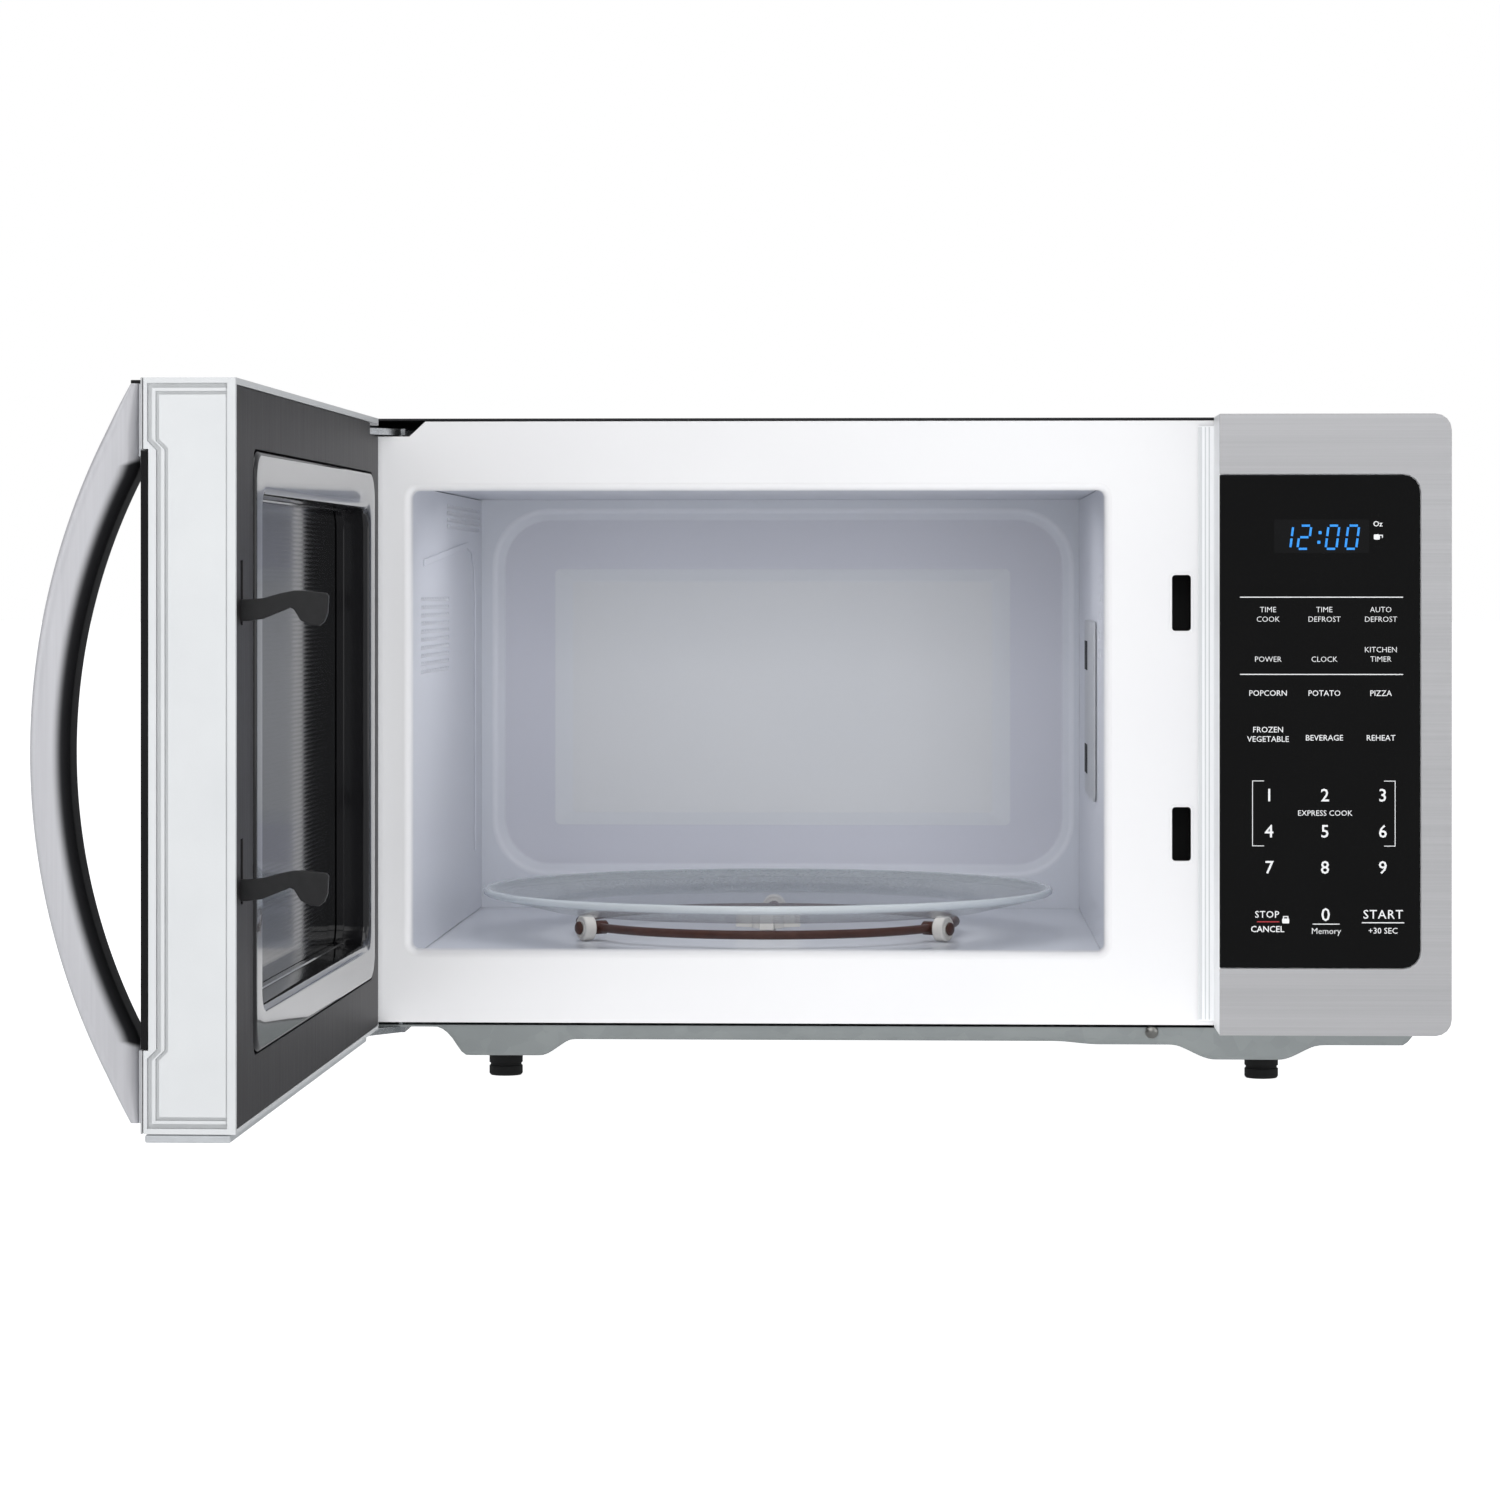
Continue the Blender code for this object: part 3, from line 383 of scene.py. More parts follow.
def soften(shape, width, segments=2, sharper=40.0):
    """Round every edge that is sharper than an angle, by a width in millimetres."""
    chosen = [
        edge for edge in shape.edges
        if len(edge.link_faces) == 2 and edge.calc_face_angle() > math.radians(sharper)
    ]
    bmesh.ops.bevel(
        shape, geom=chosen, offset=width * MM, offset_type="OFFSET", segments=segments,
        profile=0.5, affect="EDGES", clamp_overlap=True, material=-1,
    )
    return shape


def softened_copy(name, node_name, width, segments, finish, body, slot, sharper=40.0):
    """A solid of the model with its sharp edges rounded, in place of the solid itself."""
    piece = new_piece(name, soften(merged_copy(node_name), width, segments, sharper), finish)
    return fit(piece, body, slot, node_name)


def dress(finish, *node_names):
    """Give solids that already have the right shape their finish."""
    for node_name in node_names:
        solid = frame["nodes"][node_name]
        for holder in solid.material_slots:
            holder.material = finish.material


powder_coat = grained("black_powder_coat", (19, 19, 21), (34, 34, 37), 0.32, 0.5,
                      grain=900.0, depth=0.00006, detail=2.0)
softened_copy("cabinet_wrap", "outer_cabinet", 0.25, 1, powder_coat, "oven", "black_paint")
dress(galvanised, "rear_panel")

gland_plastic = grained("gland_plastic", (24, 24, 25), (40, 40, 42), 0.4, 0.6,
                        grain=500.0, depth=0.00004)
dress(gland_plastic, "cord_gland")

screw_zinc = grained("screw_zinc", (150, 150, 146), (205, 204, 198), 0.22, 0.42, 1.0,
                     grain=350.0)
PAN_HEAD = ((0.0, -2.1), (1.6, -2.0), (3.0, -1.4), (3.7, -0.4), (3.8, 0.0), (0.0, 0.0))
back_y = (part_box("rear_panel")[1].y - CASE_PLACE.y) / MM
rear_screws = bmesh.new()
for screw_x, screw_z in ((-245, 295), (0, 300), (245, 295), (-245, 60), (245, 60), (-120, 25), (120, 25)):
    lathe(rear_screws, [(r, -z) for r, z in PAN_HEAD], (screw_x, back_y, screw_z), "Y", 20)
bmesh.ops.recalc_face_normals(rear_screws, faces=rear_screws.faces)
fit(new_piece("rear_panel_screws", stand(rear_screws), screw_zinc), "oven", "zinc_steel")


# ---- Cavity -------------------------------------------------------------------------------
# The cooking cavity is welded from thin sheet and enamelled bluish grey. The rear wall is drawn
# back in a wide round-cornered field with a raised flat panel in it. The left wall has louvres.
def rounded_outline(left, low, right, high, radius, steps=8):
    """Points round a rectangle with rounded corners, from its lower right corner."""
    points = []
    corners = ((right, low, -90), (right, high, 0), (left, high, 90), (left, low, 180))
    for x, z, start in corners:
        middle_x = x - radius if x == right else x + radius
        middle_z = z - radius if z == high else z + radius
        for step in range(steps + 1):
            angle = math.radians(start + 90.0 * step / steps)
            points.append((middle_x + radius * math.cos(angle), middle_z + radius * math.sin(angle)))
    return points


def hoop(shape, outline, y):
    """A closed line of edges through outline points (x, z) at one depth."""
    points = [shape.verts.new((x * MM, y * MM, z * MM)) for x, z in outline]
    return [shape.edges.new(pair) for pair in zip(points, points[1:] + points[:1])]


def bridged(hoops_wanted, closed=False, fill_last=False):
    """A surface drawn from hoop to hoop of (outline, depth), closed on itself or filled at the end.
    A third value of a hoop is kept on its points as the attribute "field"."""
    shape = bmesh.new()
    field = shape.verts.layers.float.new("field")
    outline, y = hoops_wanted[0][:2]
    edges = hoop(shape, outline, y)
    shape.verts.ensure_lookup_table()
    points = list(shape.verts)
    for point in points:
        point[field] = hoops_wanted[0][2] if len(hoops_wanted[0]) > 2 else 0.0
    for wanted in hoops_wanted[1:] + (hoops_wanted[:1] if closed else []):
        made = bmesh.ops.extrude_edge_only(shape, edges=edges)["geom"]
        fresh = {part for part in made if isinstance(part, bmesh.types.BMVert)}
        points = [
            next(edge.other_vert(point) for edge in point.link_edges if edge.other_vert(point) in fresh)
            for point in points
        ]
        edges = [shape.edges.get(pair) for pair in zip(points, points[1:] + points[:1])]
        for point, (x, z) in zip(points, wanted[0]):
            point.co = Vector((x, wanted[1], z)) * MM
            point[field] = wanted[2] if len(wanted) > 2 else 0.0
    if closed:
        bmesh.ops.remove_doubles(shape, verts=shape.verts, dist=0.000001)
    if fill_last:
        bmesh.ops.contextual_create(shape, geom=edges)
    bmesh.ops.recalc_face_normals(shape, faces=shape.faces)
    return shape


def sheet_shape(outlines, thick, edge=0.0):
    """A flat sheet in X and Z, centred on its thickness: the first outline, less the others."""
    curve = bpy.data.curves.new("sheet_outline", "CURVE")
    curve.dimensions = "2D"
    curve.fill_mode = "BOTH"
    curve.extrude = (thick / 2 - edge) * MM
    curve.bevel_depth = edge * MM
    curve.bevel_resolution = 1
    curve.offset = -edge * MM
    for outline in outlines:
        line = curve.splines.new("POLY")
        line.points.add(len(outline) - 1)
        for knot, (x, z) in zip(line.points, outline):
            knot.co = (x * MM, z * MM, 0.0, 1.0)
        line.use_cyclic_u = True
    return made_mesh(curve)


def made_mesh(curve):
    """The mesh of a flat curve or text, stood up so that it faces the front."""
    holder = put_in_scene(bpy.data.objects.new("outline_holder", curve))
    graph = bpy.context.evaluated_depsgraph_get()
    mesh = bpy.data.meshes.new_from_object(holder.evaluated_get(graph))
    shape = bmesh.new()
    shape.from_mesh(mesh)
    bpy.data.objects.remove(holder)
    bpy.data.meshes.remove(mesh)
    bmesh.ops.remove_doubles(shape, verts=shape.verts, dist=0.000002)
    bmesh.ops.rotate(
        shape, cent=(0, 0, 0), matrix=Matrix.Rotation(math.radians(90.0), 3, "X"),
        verts=shape.verts,
    )
    return shape


def turned_sideways(shape, x):
    """A sheet drawn in (Y, Z) turned to lie across X, with its middle at this X."""
    bmesh.ops.rotate(
        shape, cent=(0, 0, 0), matrix=Matrix.Rotation(math.radians(90.0), 3, "Z"),
        verts=shape.verts,
    )
    bmesh.ops.translate(shape, vec=(x * MM, 0, 0), verts=shape.verts)
    return shape


def stroke(path, width):
    """The outline of a line of this width along a path of square-cornered steps."""
    sides = []
    for sign in (1.0, -1.0):
        side = []
        for index, point in enumerate(path):
            before = path[max(index - 1, 0)]
            after = path[min(index + 1, len(path) - 1)]
            first = Vector((point[0] - before[0], point[1] - before[1]))
            second = Vector((after[0] - point[0], after[1] - point[1]))
            first = first.normalized() if first.length else second.normalized()
            second = second.normalized() if second.length else first
            normal = Vector((-first.y - second.y, first.x + second.x))
            reach = width / 2 / max(0.3, (normal.normalized()).dot(Vector((-first.y, first.x))))
            offset = normal.normalized() * reach * sign
            side.append((point[0] + offset.x, point[1] + offset.y))
        sides.append(side)
    return sides[0] + sides[1][::-1]


enamel = Finish("cavity_enamel_coat", 0.0, {"Coat Weight": 0.35, "Coat Roughness": 0.12})
enamel_cloud = enamel.noise(14.0, 2.0)
enamel_orange_peel = enamel.noise(260.0, 1.0)
enamel.feed("Base Color", enamel.blend(enamel_cloud, paint(206, 209, 217), paint(216, 218, 226)))
enamel.feed("Roughness", enamel_cloud * 0.1 + 0.28)
enamel.relief(enamel_orange_peel, 0.00004)

WALL_LEFT = -222.0
WALL_RIGHT = 105.0
WALL_LOW = 58.5
WALL_HIGH = 281.5
WALL_REAR = 350.4
BORDER, BEAD, RECESS, SLOPE, RAISED = 0.0, 1.0, 2.0, 2.7, 3.0
rear_hoops = [
    (
        rounded_outline(WALL_LEFT - 1.2, WALL_LOW - 1.2, WALL_RIGHT + 1.2, WALL_HIGH + 1.6, 1.0),
        WALL_REAR, BORDER,
    ),
    (rounded_outline(-216.5, 75.0, 102.6, 277.6, 31.0), WALL_REAR, BORDER),
    (rounded_outline(-215.6, 76.0, 101.8, 276.8, 30.2), WALL_REAR - 0.3, BEAD),
    (rounded_outline(-214.0, 77.5, 100.4, 275.4, 29.0), WALL_REAR - 0.3, BEAD),
    (rounded_outline(-212.6, 79.0, 99.0, 274.0, 28.0), WALL_REAR + 0.6, BEAD),
    (rounded_outline(-210.0, 81.6, 96.6, 271.6, 26.0), WALL_REAR + 4.0, BEAD),
    (rounded_outline(-208.8, 83.0, 95.2, 270.2, 24.5), WALL_REAR + 4.8, RECESS),
    (rounded_outline(-182.4, 103.6, 68.0, 244.4, 3.0), WALL_REAR + 4.8, RECESS),
    (rounded_outline(-181.4, 104.2, 67.0, 243.8, 2.8), WALL_REAR + 4.6, SLOPE),
    (rounded_outline(-172.6, 110.4, 58.2, 237.6, 2.0), WALL_REAR + 3.0, SLOPE),
    (rounded_outline(-171.4, 111.2, 57.0, 236.8, 1.8), WALL_REAR + 2.9, RAISED),
    (rounded_outline(-166.0, 116.0, 52.0, 232.0, 1.0), WALL_REAR + 2.9, RAISED),
]
rear_wall_shape = bridged(rear_hoops, fill_last=True)
inside_out = sum(face.normal.y * face.calc_area() for face in rear_wall_shape.faces) > 0
if inside_out:
    bmesh.ops.reverse_faces(rear_wall_shape, faces=rear_wall_shape.faces)
bmesh.ops.solidify(rear_wall_shape, geom=rear_wall_shape.faces, thickness=0.8 * MM)
bmesh.ops.recalc_face_normals(rear_wall_shape, faces=rear_wall_shape.faces)
rear_enamel = Finish("cavity_rear_enamel", 0.0, {"Coat Weight": 0.35, "Coat Roughness": 0.12})
rear_field = rear_enamel.node("Attribute", {"attribute_name": "field"}, None, 2) / 3.0
rear_cloud = rear_enamel.noise(9.0, 2.0)
# Painted light and shade by region: the bead is lighter as a painted highlight, the recess darker as painted
# shade, with border, slope and raised panel between.
rear_painted_light = rear_enamel.node("ValToRGB", {"stops": (
    (0.0, paint(214, 217, 225)), (0.34, paint(224, 226, 233)), (0.67, paint(202, 203, 213)),
    (0.9, paint(218, 220, 224)), (1.0, paint(214, 215, 217)),
)}, {0: rear_field})
rear_enamel.feed("Base Color", rear_enamel.blend(rear_cloud * 0.22, rear_painted_light, paint(190, 196, 204)))
rear_enamel.feed("Roughness", rear_cloud * 0.1 + 0.3)
rear_enamel.relief(rear_enamel.noise(260.0, 1.0), 0.00004)
rear_piece = new_piece("cavity_rear_pressing", stand(rear_wall_shape), rear_enamel, 60.0)
fit(rear_piece, "oven", "cavity_enamel", "cavity_rear_wall")

side_outline = rounded_outline(2.0, WALL_LOW + 0.4, 350.0, WALL_HIGH, 0.6, 2)
louvres = []
for row in range(4):
    for column in range(22):
        low = 264.0 + 3.4 * row
        start = 171.0 + 7.5 * column
        louvres.append(rounded_outline(start, low, start + 5.8, low + 2.0, 0.8, 2))
for row in range(10):
    for column in range(17):
        low = 192.0 + 3.9 * row
        start = 55.0 + 7.5 * column
        louvres.append(rounded_outline(start, low, start + 5.6, low + 2.0, 0.9, 2))
left_wall_shape = turned_sideways(sheet_shape([side_outline] + louvres, 1.2), -222.6)
left_sheet = new_piece("cavity_left_sheet", stand(left_wall_shape), enamel)
fit(left_sheet, "oven", "cavity_enamel", "cavity_left_wall")

bead_path = ((64.0, 245.8), (120.0, 248.7), (200.0, 252.8), (268.0, 256.2), (292.0, 254.0),
             (306.0, 244.0), (311.0, 228.0), (312.0, 190.0), (312.0, 92.0))
bead_shape = turned_sideways(sheet_shape([stroke(bead_path, 3.4)], 0.9, 0.4), -221.6)
fit(new_piece("cavity_left_bead", stand(bead_shape), enamel, 70.0), "oven", "cavity_enamel")

lamp_holes = []
for row in range(5):
    for column in range(3):
        low = 199.5 + 9.0 * row
        start = 70.0 + 6.0 * column
        lamp_holes.append(rounded_outline(start, low, start + 3.2, low + 4.6, 1.5, 4))
cover_window = rounded_outline(126.0, 136.0, 224.0, 209.0, 3.0, 3)
right_wall_shape = turned_sideways(sheet_shape([side_outline, cover_window] + lamp_holes, 1.2), 105.6)
right_sheet = new_piece("cavity_right_sheet", stand(right_wall_shape), enamel)
fit(right_sheet, "oven", "cavity_enamel", "cavity_right_wall")
dress(enamel, "cavity_ceiling")
floor_enamel = grained("cavity_floor_enamel", (222, 225, 232), (232, 235, 241), 0.28, 0.38,
                       grain=14.0, fixed={"Coat Weight": 0.35, "Coat Roughness": 0.12})
dress(floor_enamel, "cavity_floor")

# Black for painted shade in gaps and openings, and also the own colour of the black handle end cap.
shade_and_cap_black = grained("painted_shade_and_cap_black", (8, 8, 9), (16, 16, 17), 0.6, 0.8, grain=300.0)
# Painted shade: thin black boxes stand in for the shade in the gaps beside the waveguide cover.
slits = bmesh.new()
for low, high in ((138.6, 153.5), (191.6, 206.5)):
    slit = bmesh.ops.create_cube(slits, size=MM)["verts"]
    bmesh.ops.scale(slits, vec=(0.3, 30.0, high - low), verts=slit)
    bmesh.ops.translate(slits, vec=Vector((103.48, 214.0, (low + high) / 2)) * MM, verts=slit)
soften(slits, 0.1, 1)
fit(new_piece("waveguide_cover_gap_shade", stand(slits), shade_and_cap_black), "oven", "mica")
# Painted shade: black sheets behind the louvres and the lamp holes stand in for the shade inside the case.
for behind, low, high, depth, place_x in (
    ("cavity_left_vent_shade_sheet", 188.0, 280.0, (50.0, 340.0), -223.6),
    ("cavity_right_vent_shade_sheet", 196.0, 244.0, (66.0, 92.0), 106.6),
):
    vent_shade_sheet = sheet_shape([rounded_outline(depth[0], low, depth[1], high, 2.0, 2)], 0.3)
    fit(new_piece(behind, stand(turned_sideways(vent_shade_sheet, place_x)), shade_and_cap_black), "oven", "cavity_enamel")

mica_grain = grained("mica_sheet", (160, 163, 168), (186, 188, 192), 0.3, 0.5,
                     grain=(30.0, 30.0, 200.0), depth=0.00003)
cover_outline = rounded_outline(118.0, 128.0, 232.0, 217.0, 4.0)
cover_shape = turned_sideways(sheet_shape([cover_outline], 1.0, 0.2), 104.1)
fit(new_piece("waveguide_cover_sheet", stand(cover_shape), mica_grain), "oven", "mica", "waveguide_cover")


# ---- Front plate --------------------------------------------------------------------------
# A single steel plate, enamelled glossy white, spot-welded to the front of the cavity. The
# latch slots are pierced in it, and its opening's edge is rolled inwards to a bright lip.
OPENING = (-220.8, 63.7, 103.9, 279.2)
OPENING_RADIUS = 3.2
LIP = 3.2
PLATE = (-259.1, 29.8, 259.1, 311.6)
SLOTS = ((135.3, 106.3, 144.1, 131.4), (135.3, 213.5, 144.1, 239.6))


def grown(box, by):
    left, low, right, high = box
    return (left - by, low - by, right + by, high + by)


white_gloss = Finish("white_gloss_enamel", 0.0, {"Coat Weight": 0.15, "Coat Roughness": 0.1})
white_cloud = white_gloss.noise(9.0, 2.0)
white_gloss.feed("Base Color", white_gloss.blend(white_cloud, paint(217, 217, 219), paint(224, 224, 225)))
white_gloss.feed("Roughness", white_cloud * 0.08 + 0.34)
white_gloss.relief(white_gloss.noise(220.0, 1.0), 0.00002)

plate_outline = [
    (PLATE[2], PLATE[1]), (PLATE[2], PLATE[3] - 3.0), (PLATE[2] - 0.9, PLATE[3] - 0.9),
    (PLATE[2] - 3.0, PLATE[3]), (-214.0, PLATE[3]), (-221.5, 304.6), (PLATE[0], 304.6),
    (PLATE[0], PLATE[1]),
]
plate_holes = [rounded_outline(*grown(OPENING, LIP), OPENING_RADIUS + LIP, 10)]
plate_holes += [rounded_outline(*slot, 1.5, 4) for slot in SLOTS]
plate_holes.append(rounded_outline(175.0, 70.0, 245.0, 280.0, 3.0, 3))
plate_shape = sheet_shape([plate_outline] + plate_holes, 1.2, 0.15)
bmesh.ops.translate(plate_shape, vec=(0, 0.6 * MM, 0), verts=plate_shape.verts)
fit(new_piece("front_plate_panel", stand(plate_shape), white_gloss), "oven", "white_enamel", "front_plate")

RIVET = ((0.0, 1.5), (1.2, 1.4), (2.3, 1.0), (3.0, 0.3), (3.1, 0.0), (0.0, 0.0))
rivet = lathe(bmesh.new(), [(radius, -height) for radius, height in RIVET], (126.0, 2.6, 26.2), "Y", 24)
fit(new_piece("pan_rivet", stand(rivet), screw_zinc), "oven", "zinc_steel")

LIP_PROFILE = (
    (LIP, 0.02), (2.6, 0.06), (1.9, 0.4), (1.2, 0.95), (0.6, 1.7), (0.2, 2.6), (0.0, 3.6), (0.0, 10.0),
    (0.8, 10.0), (0.8, 3.8), (1.2, 2.6), (2.0, 1.6), (LIP, 1.1),
)
lip_hoops = [
    (rounded_outline(*grown(OPENING, out), OPENING_RADIUS + out, 10), y) for out, y in LIP_PROFILE
]
lip_shape = bridged(lip_hoops, closed=True)
fit(new_piece("opening_lip", stand(lip_shape), white_gloss, 60.0), "oven", "white_enamel")

latch_plastic = grained("latch_plastic", (16, 16, 17), (30, 30, 31), 0.38, 0.55,
                        grain=450.0, depth=0.00004)
for slot_box, slot_name in zip(SLOTS, ("lower", "upper")):
    rim = [(rounded_outline(*grown(slot_box, out), 1.5 + max(out, 0), 4), y)
           for out, y in ((0.0, -0.05), (0.4, -0.3), (1.0, -0.3), (1.5, -0.02), (1.5, 0.1), (0.0, 0.1))]
    fit(new_piece("slot_rim_" + slot_name, stand(bridged(rim, closed=True)), white_gloss),
        "oven", "white_enamel")
dress(latch_plastic, "latch_board")


# ---- Hinges -------------------------------------------------------------------------------
# Two zinc-plated steel tongues reach out of the case's left edge, and a steel pin through the
# end of each carries the door. The lower pin turns in a black bushing.
PIN = (-247.0, -14.6)
bright_zinc = Finish("bright_zinc_plate", 1.0)
zinc_scratch = bright_zinc.noise((700.0, 60.0, 700.0), 4.0)
zinc_cloud = bright_zinc.noise(90.0, 3.0)
bright_zinc.feed("Base Color", bright_zinc.blend(zinc_cloud, paint(176, 180, 184), paint(226, 228, 230)))
bright_zinc.feed("Roughness", zinc_scratch * 0.2 + 0.16)
bright_zinc.relief(zinc_scratch, 0.00003)
for tongue in ("hinge_bracket_upper", "hinge_bracket_lower"):
    softened_copy(tongue + "_steel", tongue, 0.35, 2, bright_zinc, "oven", "zinc_steel")
dress(bright_zinc, "hinge_pin_upper", "hinge_pin_lower")
BUSHING = ((3.4, 0.0), (6.0, 0.0), (6.4, 0.3), (6.4, 1.1), (6.0, 1.4), (3.4, 1.4))


def round_ring(outline, centre, axis, steps=40, shape=None):
    """Spin a closed outline of (radius, height) points that stays clear of its axis."""
    return lathe(shape or bmesh.new(), list(outline) + [outline[0]], centre, axis, steps)


bushing = new_piece("hinge_bushing", stand(round_ring(BUSHING, (*PIN, 23.0), "Z")), latch_plastic)
fit(bushing, "oven", "black_plastic")


# ---- Turntable ----------------------------------------------------------------------------
# A pressed glass tray sits on a nylon coupler and three nylon wheels. The wheels turn on the
# axles of a brown plastic ring that runs loose on the cavity floor.
TRAY_MIDDLE = (-59.0, 172.0)
TRAY_PROFILE = (
    (0.0, 71.7), (60.0, 71.7), (109.0, 71.7), (112.5, 72.0), (116.0, 72.9), (140.0, 78.3),
    (142.6, 79.0), (143.8, 79.9), (144.0, 80.8), (143.9, 81.7), (143.2, 82.35), (142.0, 82.5),
    (140.6, 82.3), (138.5, 81.6), (114.0, 76.9), (110.5, 76.1), (107.0, 75.9), (60.0, 75.9), (0.0, 75.9),
)
tray_shape = lathe(bmesh.new(), TRAY_PROFILE, (*TRAY_MIDDLE, 0.0), "Z", 160)
for lug in range(3):
    lug_angle = math.radians(90 + 120 * lug)
    lug_place = (
        TRAY_MIDDLE[0] + 20.0 * math.cos(lug_angle), TRAY_MIDDLE[1] + 20.0 * math.sin(lug_angle), 0.0,
    )
    lathe(tray_shape, ((0.0, 64.5), (2.8, 64.5), (3.5, 65.2), (3.5, 71.6), (0.0, 71.6)), lug_place, "Z", 20)
tray_glass = Finish("clear_tray_glass", 0.0, {"IOR": 1.5, "Specular IOR Level": 0.7})
tray_centre = place(*TRAY_MIDDLE, 0.0)
tray_here = tray_glass.node("Mapping", None, {
    "Vector": tray_glass.node("TexCoord", output=3), "Location": (-tray_centre.x, -tray_centre.y, 0.0),
})
tray_x = tray_glass.node("SeparateXYZ", None, {0: tray_here}, 0)
tray_y = tray_glass.node("SeparateXYZ", None, {0: tray_here}, 1)
from_middle = (tray_x * tray_x + tray_y * tray_y).maths("SQRT")
on_slope = tray_glass.node("MapRange", {"interpolation_type": "SMOOTHSTEP"}, {
    0: from_middle, 1: 0.108, 2: 0.116,
})
at_rim = tray_glass.node("MapRange", {"interpolation_type": "SMOOTHSTEP"}, {
    0: from_middle, 1: 0.1375, 2: 0.1425,
})
hammered = tray_glass.node("TexVoronoi", {"feature": "SMOOTH_F1"}, {
    "Vector": tray_glass.spot(800.0), "Scale": 1.0,
})
edge_on = tray_glass.node("LayerWeight", None, {"Blend": 0.5}, 1)
glass_tone = hammered * (on_slope - at_rim)
tray_tint = tray_glass.blend(glass_tone * 0.9, paint(112, 121, 127), paint(216, 222, 226))
# Painted highlight: the rim is blended towards near white for the bright reflections along it.
tray_glass.feed("Base Color", tray_glass.blend(at_rim * 0.85, tray_tint, paint(222, 229, 233)))
tray_glass.feed("Roughness", on_slope * 0.1 + 0.04)
tray_glass.feed("Alpha", (edge_on ** 3.0) * 0.2 + at_rim * 0.34 + glass_tone * 0.14 + on_slope * 0.34 + 0.07)
tray_glass.relief(glass_tone, 0.0002, 0.8)
tray = new_piece("glass_tray_pressing", stand(tray_shape), tray_glass, 50.0)
fit(tray, "tray", "clear_glass", "glass_tray")

nylon = grained("white_nylon_moulding", (214, 211, 206), (232, 229, 224), 0.35, 0.55,
                grain=160.0, depth=0.00003)
softened_copy("tray_coupler_moulding", "tray_coupler", 0.4, 2, nylon, "coupler", "white_nylon")

RING_RADIUS = 95.0
RING_TUBE = 2.2
RING_HEIGHT = 65.1
ring_plastic = grained("brown_ring_plastic", (58, 34, 28), (84, 52, 42), 0.3, 0.5,
                       grain=120.0, depth=0.00004)
tube_outline = [
    (RING_RADIUS + RING_TUBE * math.cos(math.radians(angle)), RING_TUBE * math.sin(math.radians(angle)))
    for angle in range(0, 360, 30)
]
ring_shape = round_ring(tube_outline, (*TRAY_MIDDLE, RING_HEIGHT), "Z", 120)


def joined(shape, other):
    """Add one shape to another."""
    part = bpy.data.meshes.new("part")
    other.to_mesh(part)
    other.free()
    shape.from_mesh(part)
    bpy.data.meshes.remove(part)
    return shape


def at_wheel(outline, angle, steps=28, shape=None):
    """Spin an outline of (radius, reach) about a wheel's axle, which points out from the ring."""
    made = lathe(bmesh.new(), outline, (0, 0, 0), "X", steps)
    bmesh.ops.rotate(
        made, cent=(0, 0, 0), matrix=Matrix.Rotation(math.radians(angle), 3, "Z"), verts=made.verts,
    )
    bmesh.ops.translate(
        made, vec=Vector((*TRAY_MIDDLE, RING_HEIGHT)) * MM, verts=made.verts,
    )
    return joined(shape, made) if shape else made


WHEELS = {"roller_front_left": -150, "roller_front_right": -30, "roller_back": 90}
BOSS = ((0.0, 90.4), (2.6, 90.6), (3.4, 91.4), (3.4, 97.4), (2.9, 98.3), (2.0, 98.5), (0.0, 98.5))
AXLE = ((0.0, 98.0), (2.0, 98.0), (2.0, 105.6), (3.3, 105.7), (3.2, 106.6), (2.2, 107.4), (0.0, 107.7))
TREAD = (
    (2.4, 99.0), (3.4, 99.0), (3.7, 99.4), (4.9, 99.4), (5.2, 99.0), (5.8, 99.1), (6.2, 99.5), (6.3, 100.0),
    (6.3, 104.0), (6.2, 104.5), (5.8, 104.9), (5.2, 105.0), (4.9, 104.6), (3.7, 104.6), (3.4, 105.0),
    (2.4, 105.0), (2.4, 99.0),
)
for wheel_name, wheel_angle in WHEELS.items():
    at_wheel(BOSS, wheel_angle, 24, ring_shape)
    at_wheel(AXLE, wheel_angle, 24, ring_shape)
    wheel = new_piece(wheel_name + "_wheel", stand(at_wheel(TREAD, wheel_angle, 40)), nylon)
    fit(wheel, wheel_name, "white_nylon", wheel_name)
ring = new_piece("roller_ring_moulding", stand(ring_shape), ring_plastic)
fit(ring, "ring", "brown_plastic", "roller_ring")


# ---- Door frame ---------------------------------------------------------------------------
# The door's body is one white plastic moulding. A double groove is moulded in its free edge,
# running round behind the front trim and jogging inwards beside the glass.
swing = next(joint for joint in frame["joints"] if joint["name"] == "door_swing")
OPEN_ANGLE = math.radians(max(swing["range_deg"], key=abs))


def hang(shape):
    """Swing a shape made on the closed door out to where the open door stands."""
    bmesh.ops.rotate(
        shape, cent=(PIN[0] * MM, PIN[1] * MM, 0.0), matrix=Matrix.Rotation(-OPEN_ANGLE, 3, "Z"),
        verts=shape.verts,
    )
    return stand(shape)


def less(shape, cutter):
    """The shape with another shape cut out of it."""
    pair = []
    for part in (shape, cutter):
        mesh = bpy.data.meshes.new("part")
        part.to_mesh(mesh)
        part.free()
        pair.append(put_in_scene(bpy.data.objects.new("part", mesh)))
    step = pair[0].modifiers.new("cut", "BOOLEAN")
    step.operation = "DIFFERENCE"
    step.solver = "EXACT"
    step.object = pair[1]
    graph = bpy.context.evaluated_depsgraph_get()
    mesh = bpy.data.meshes.new_from_object(pair[0].evaluated_get(graph))
    result = bmesh.new()
    result.from_mesh(mesh)
    bpy.data.meshes.remove(mesh)
    for part in pair:
        bpy.data.objects.remove(part)
    return result


FREE_EDGE = 153.5
GLASS_RANGE = (58.0, 287.0)


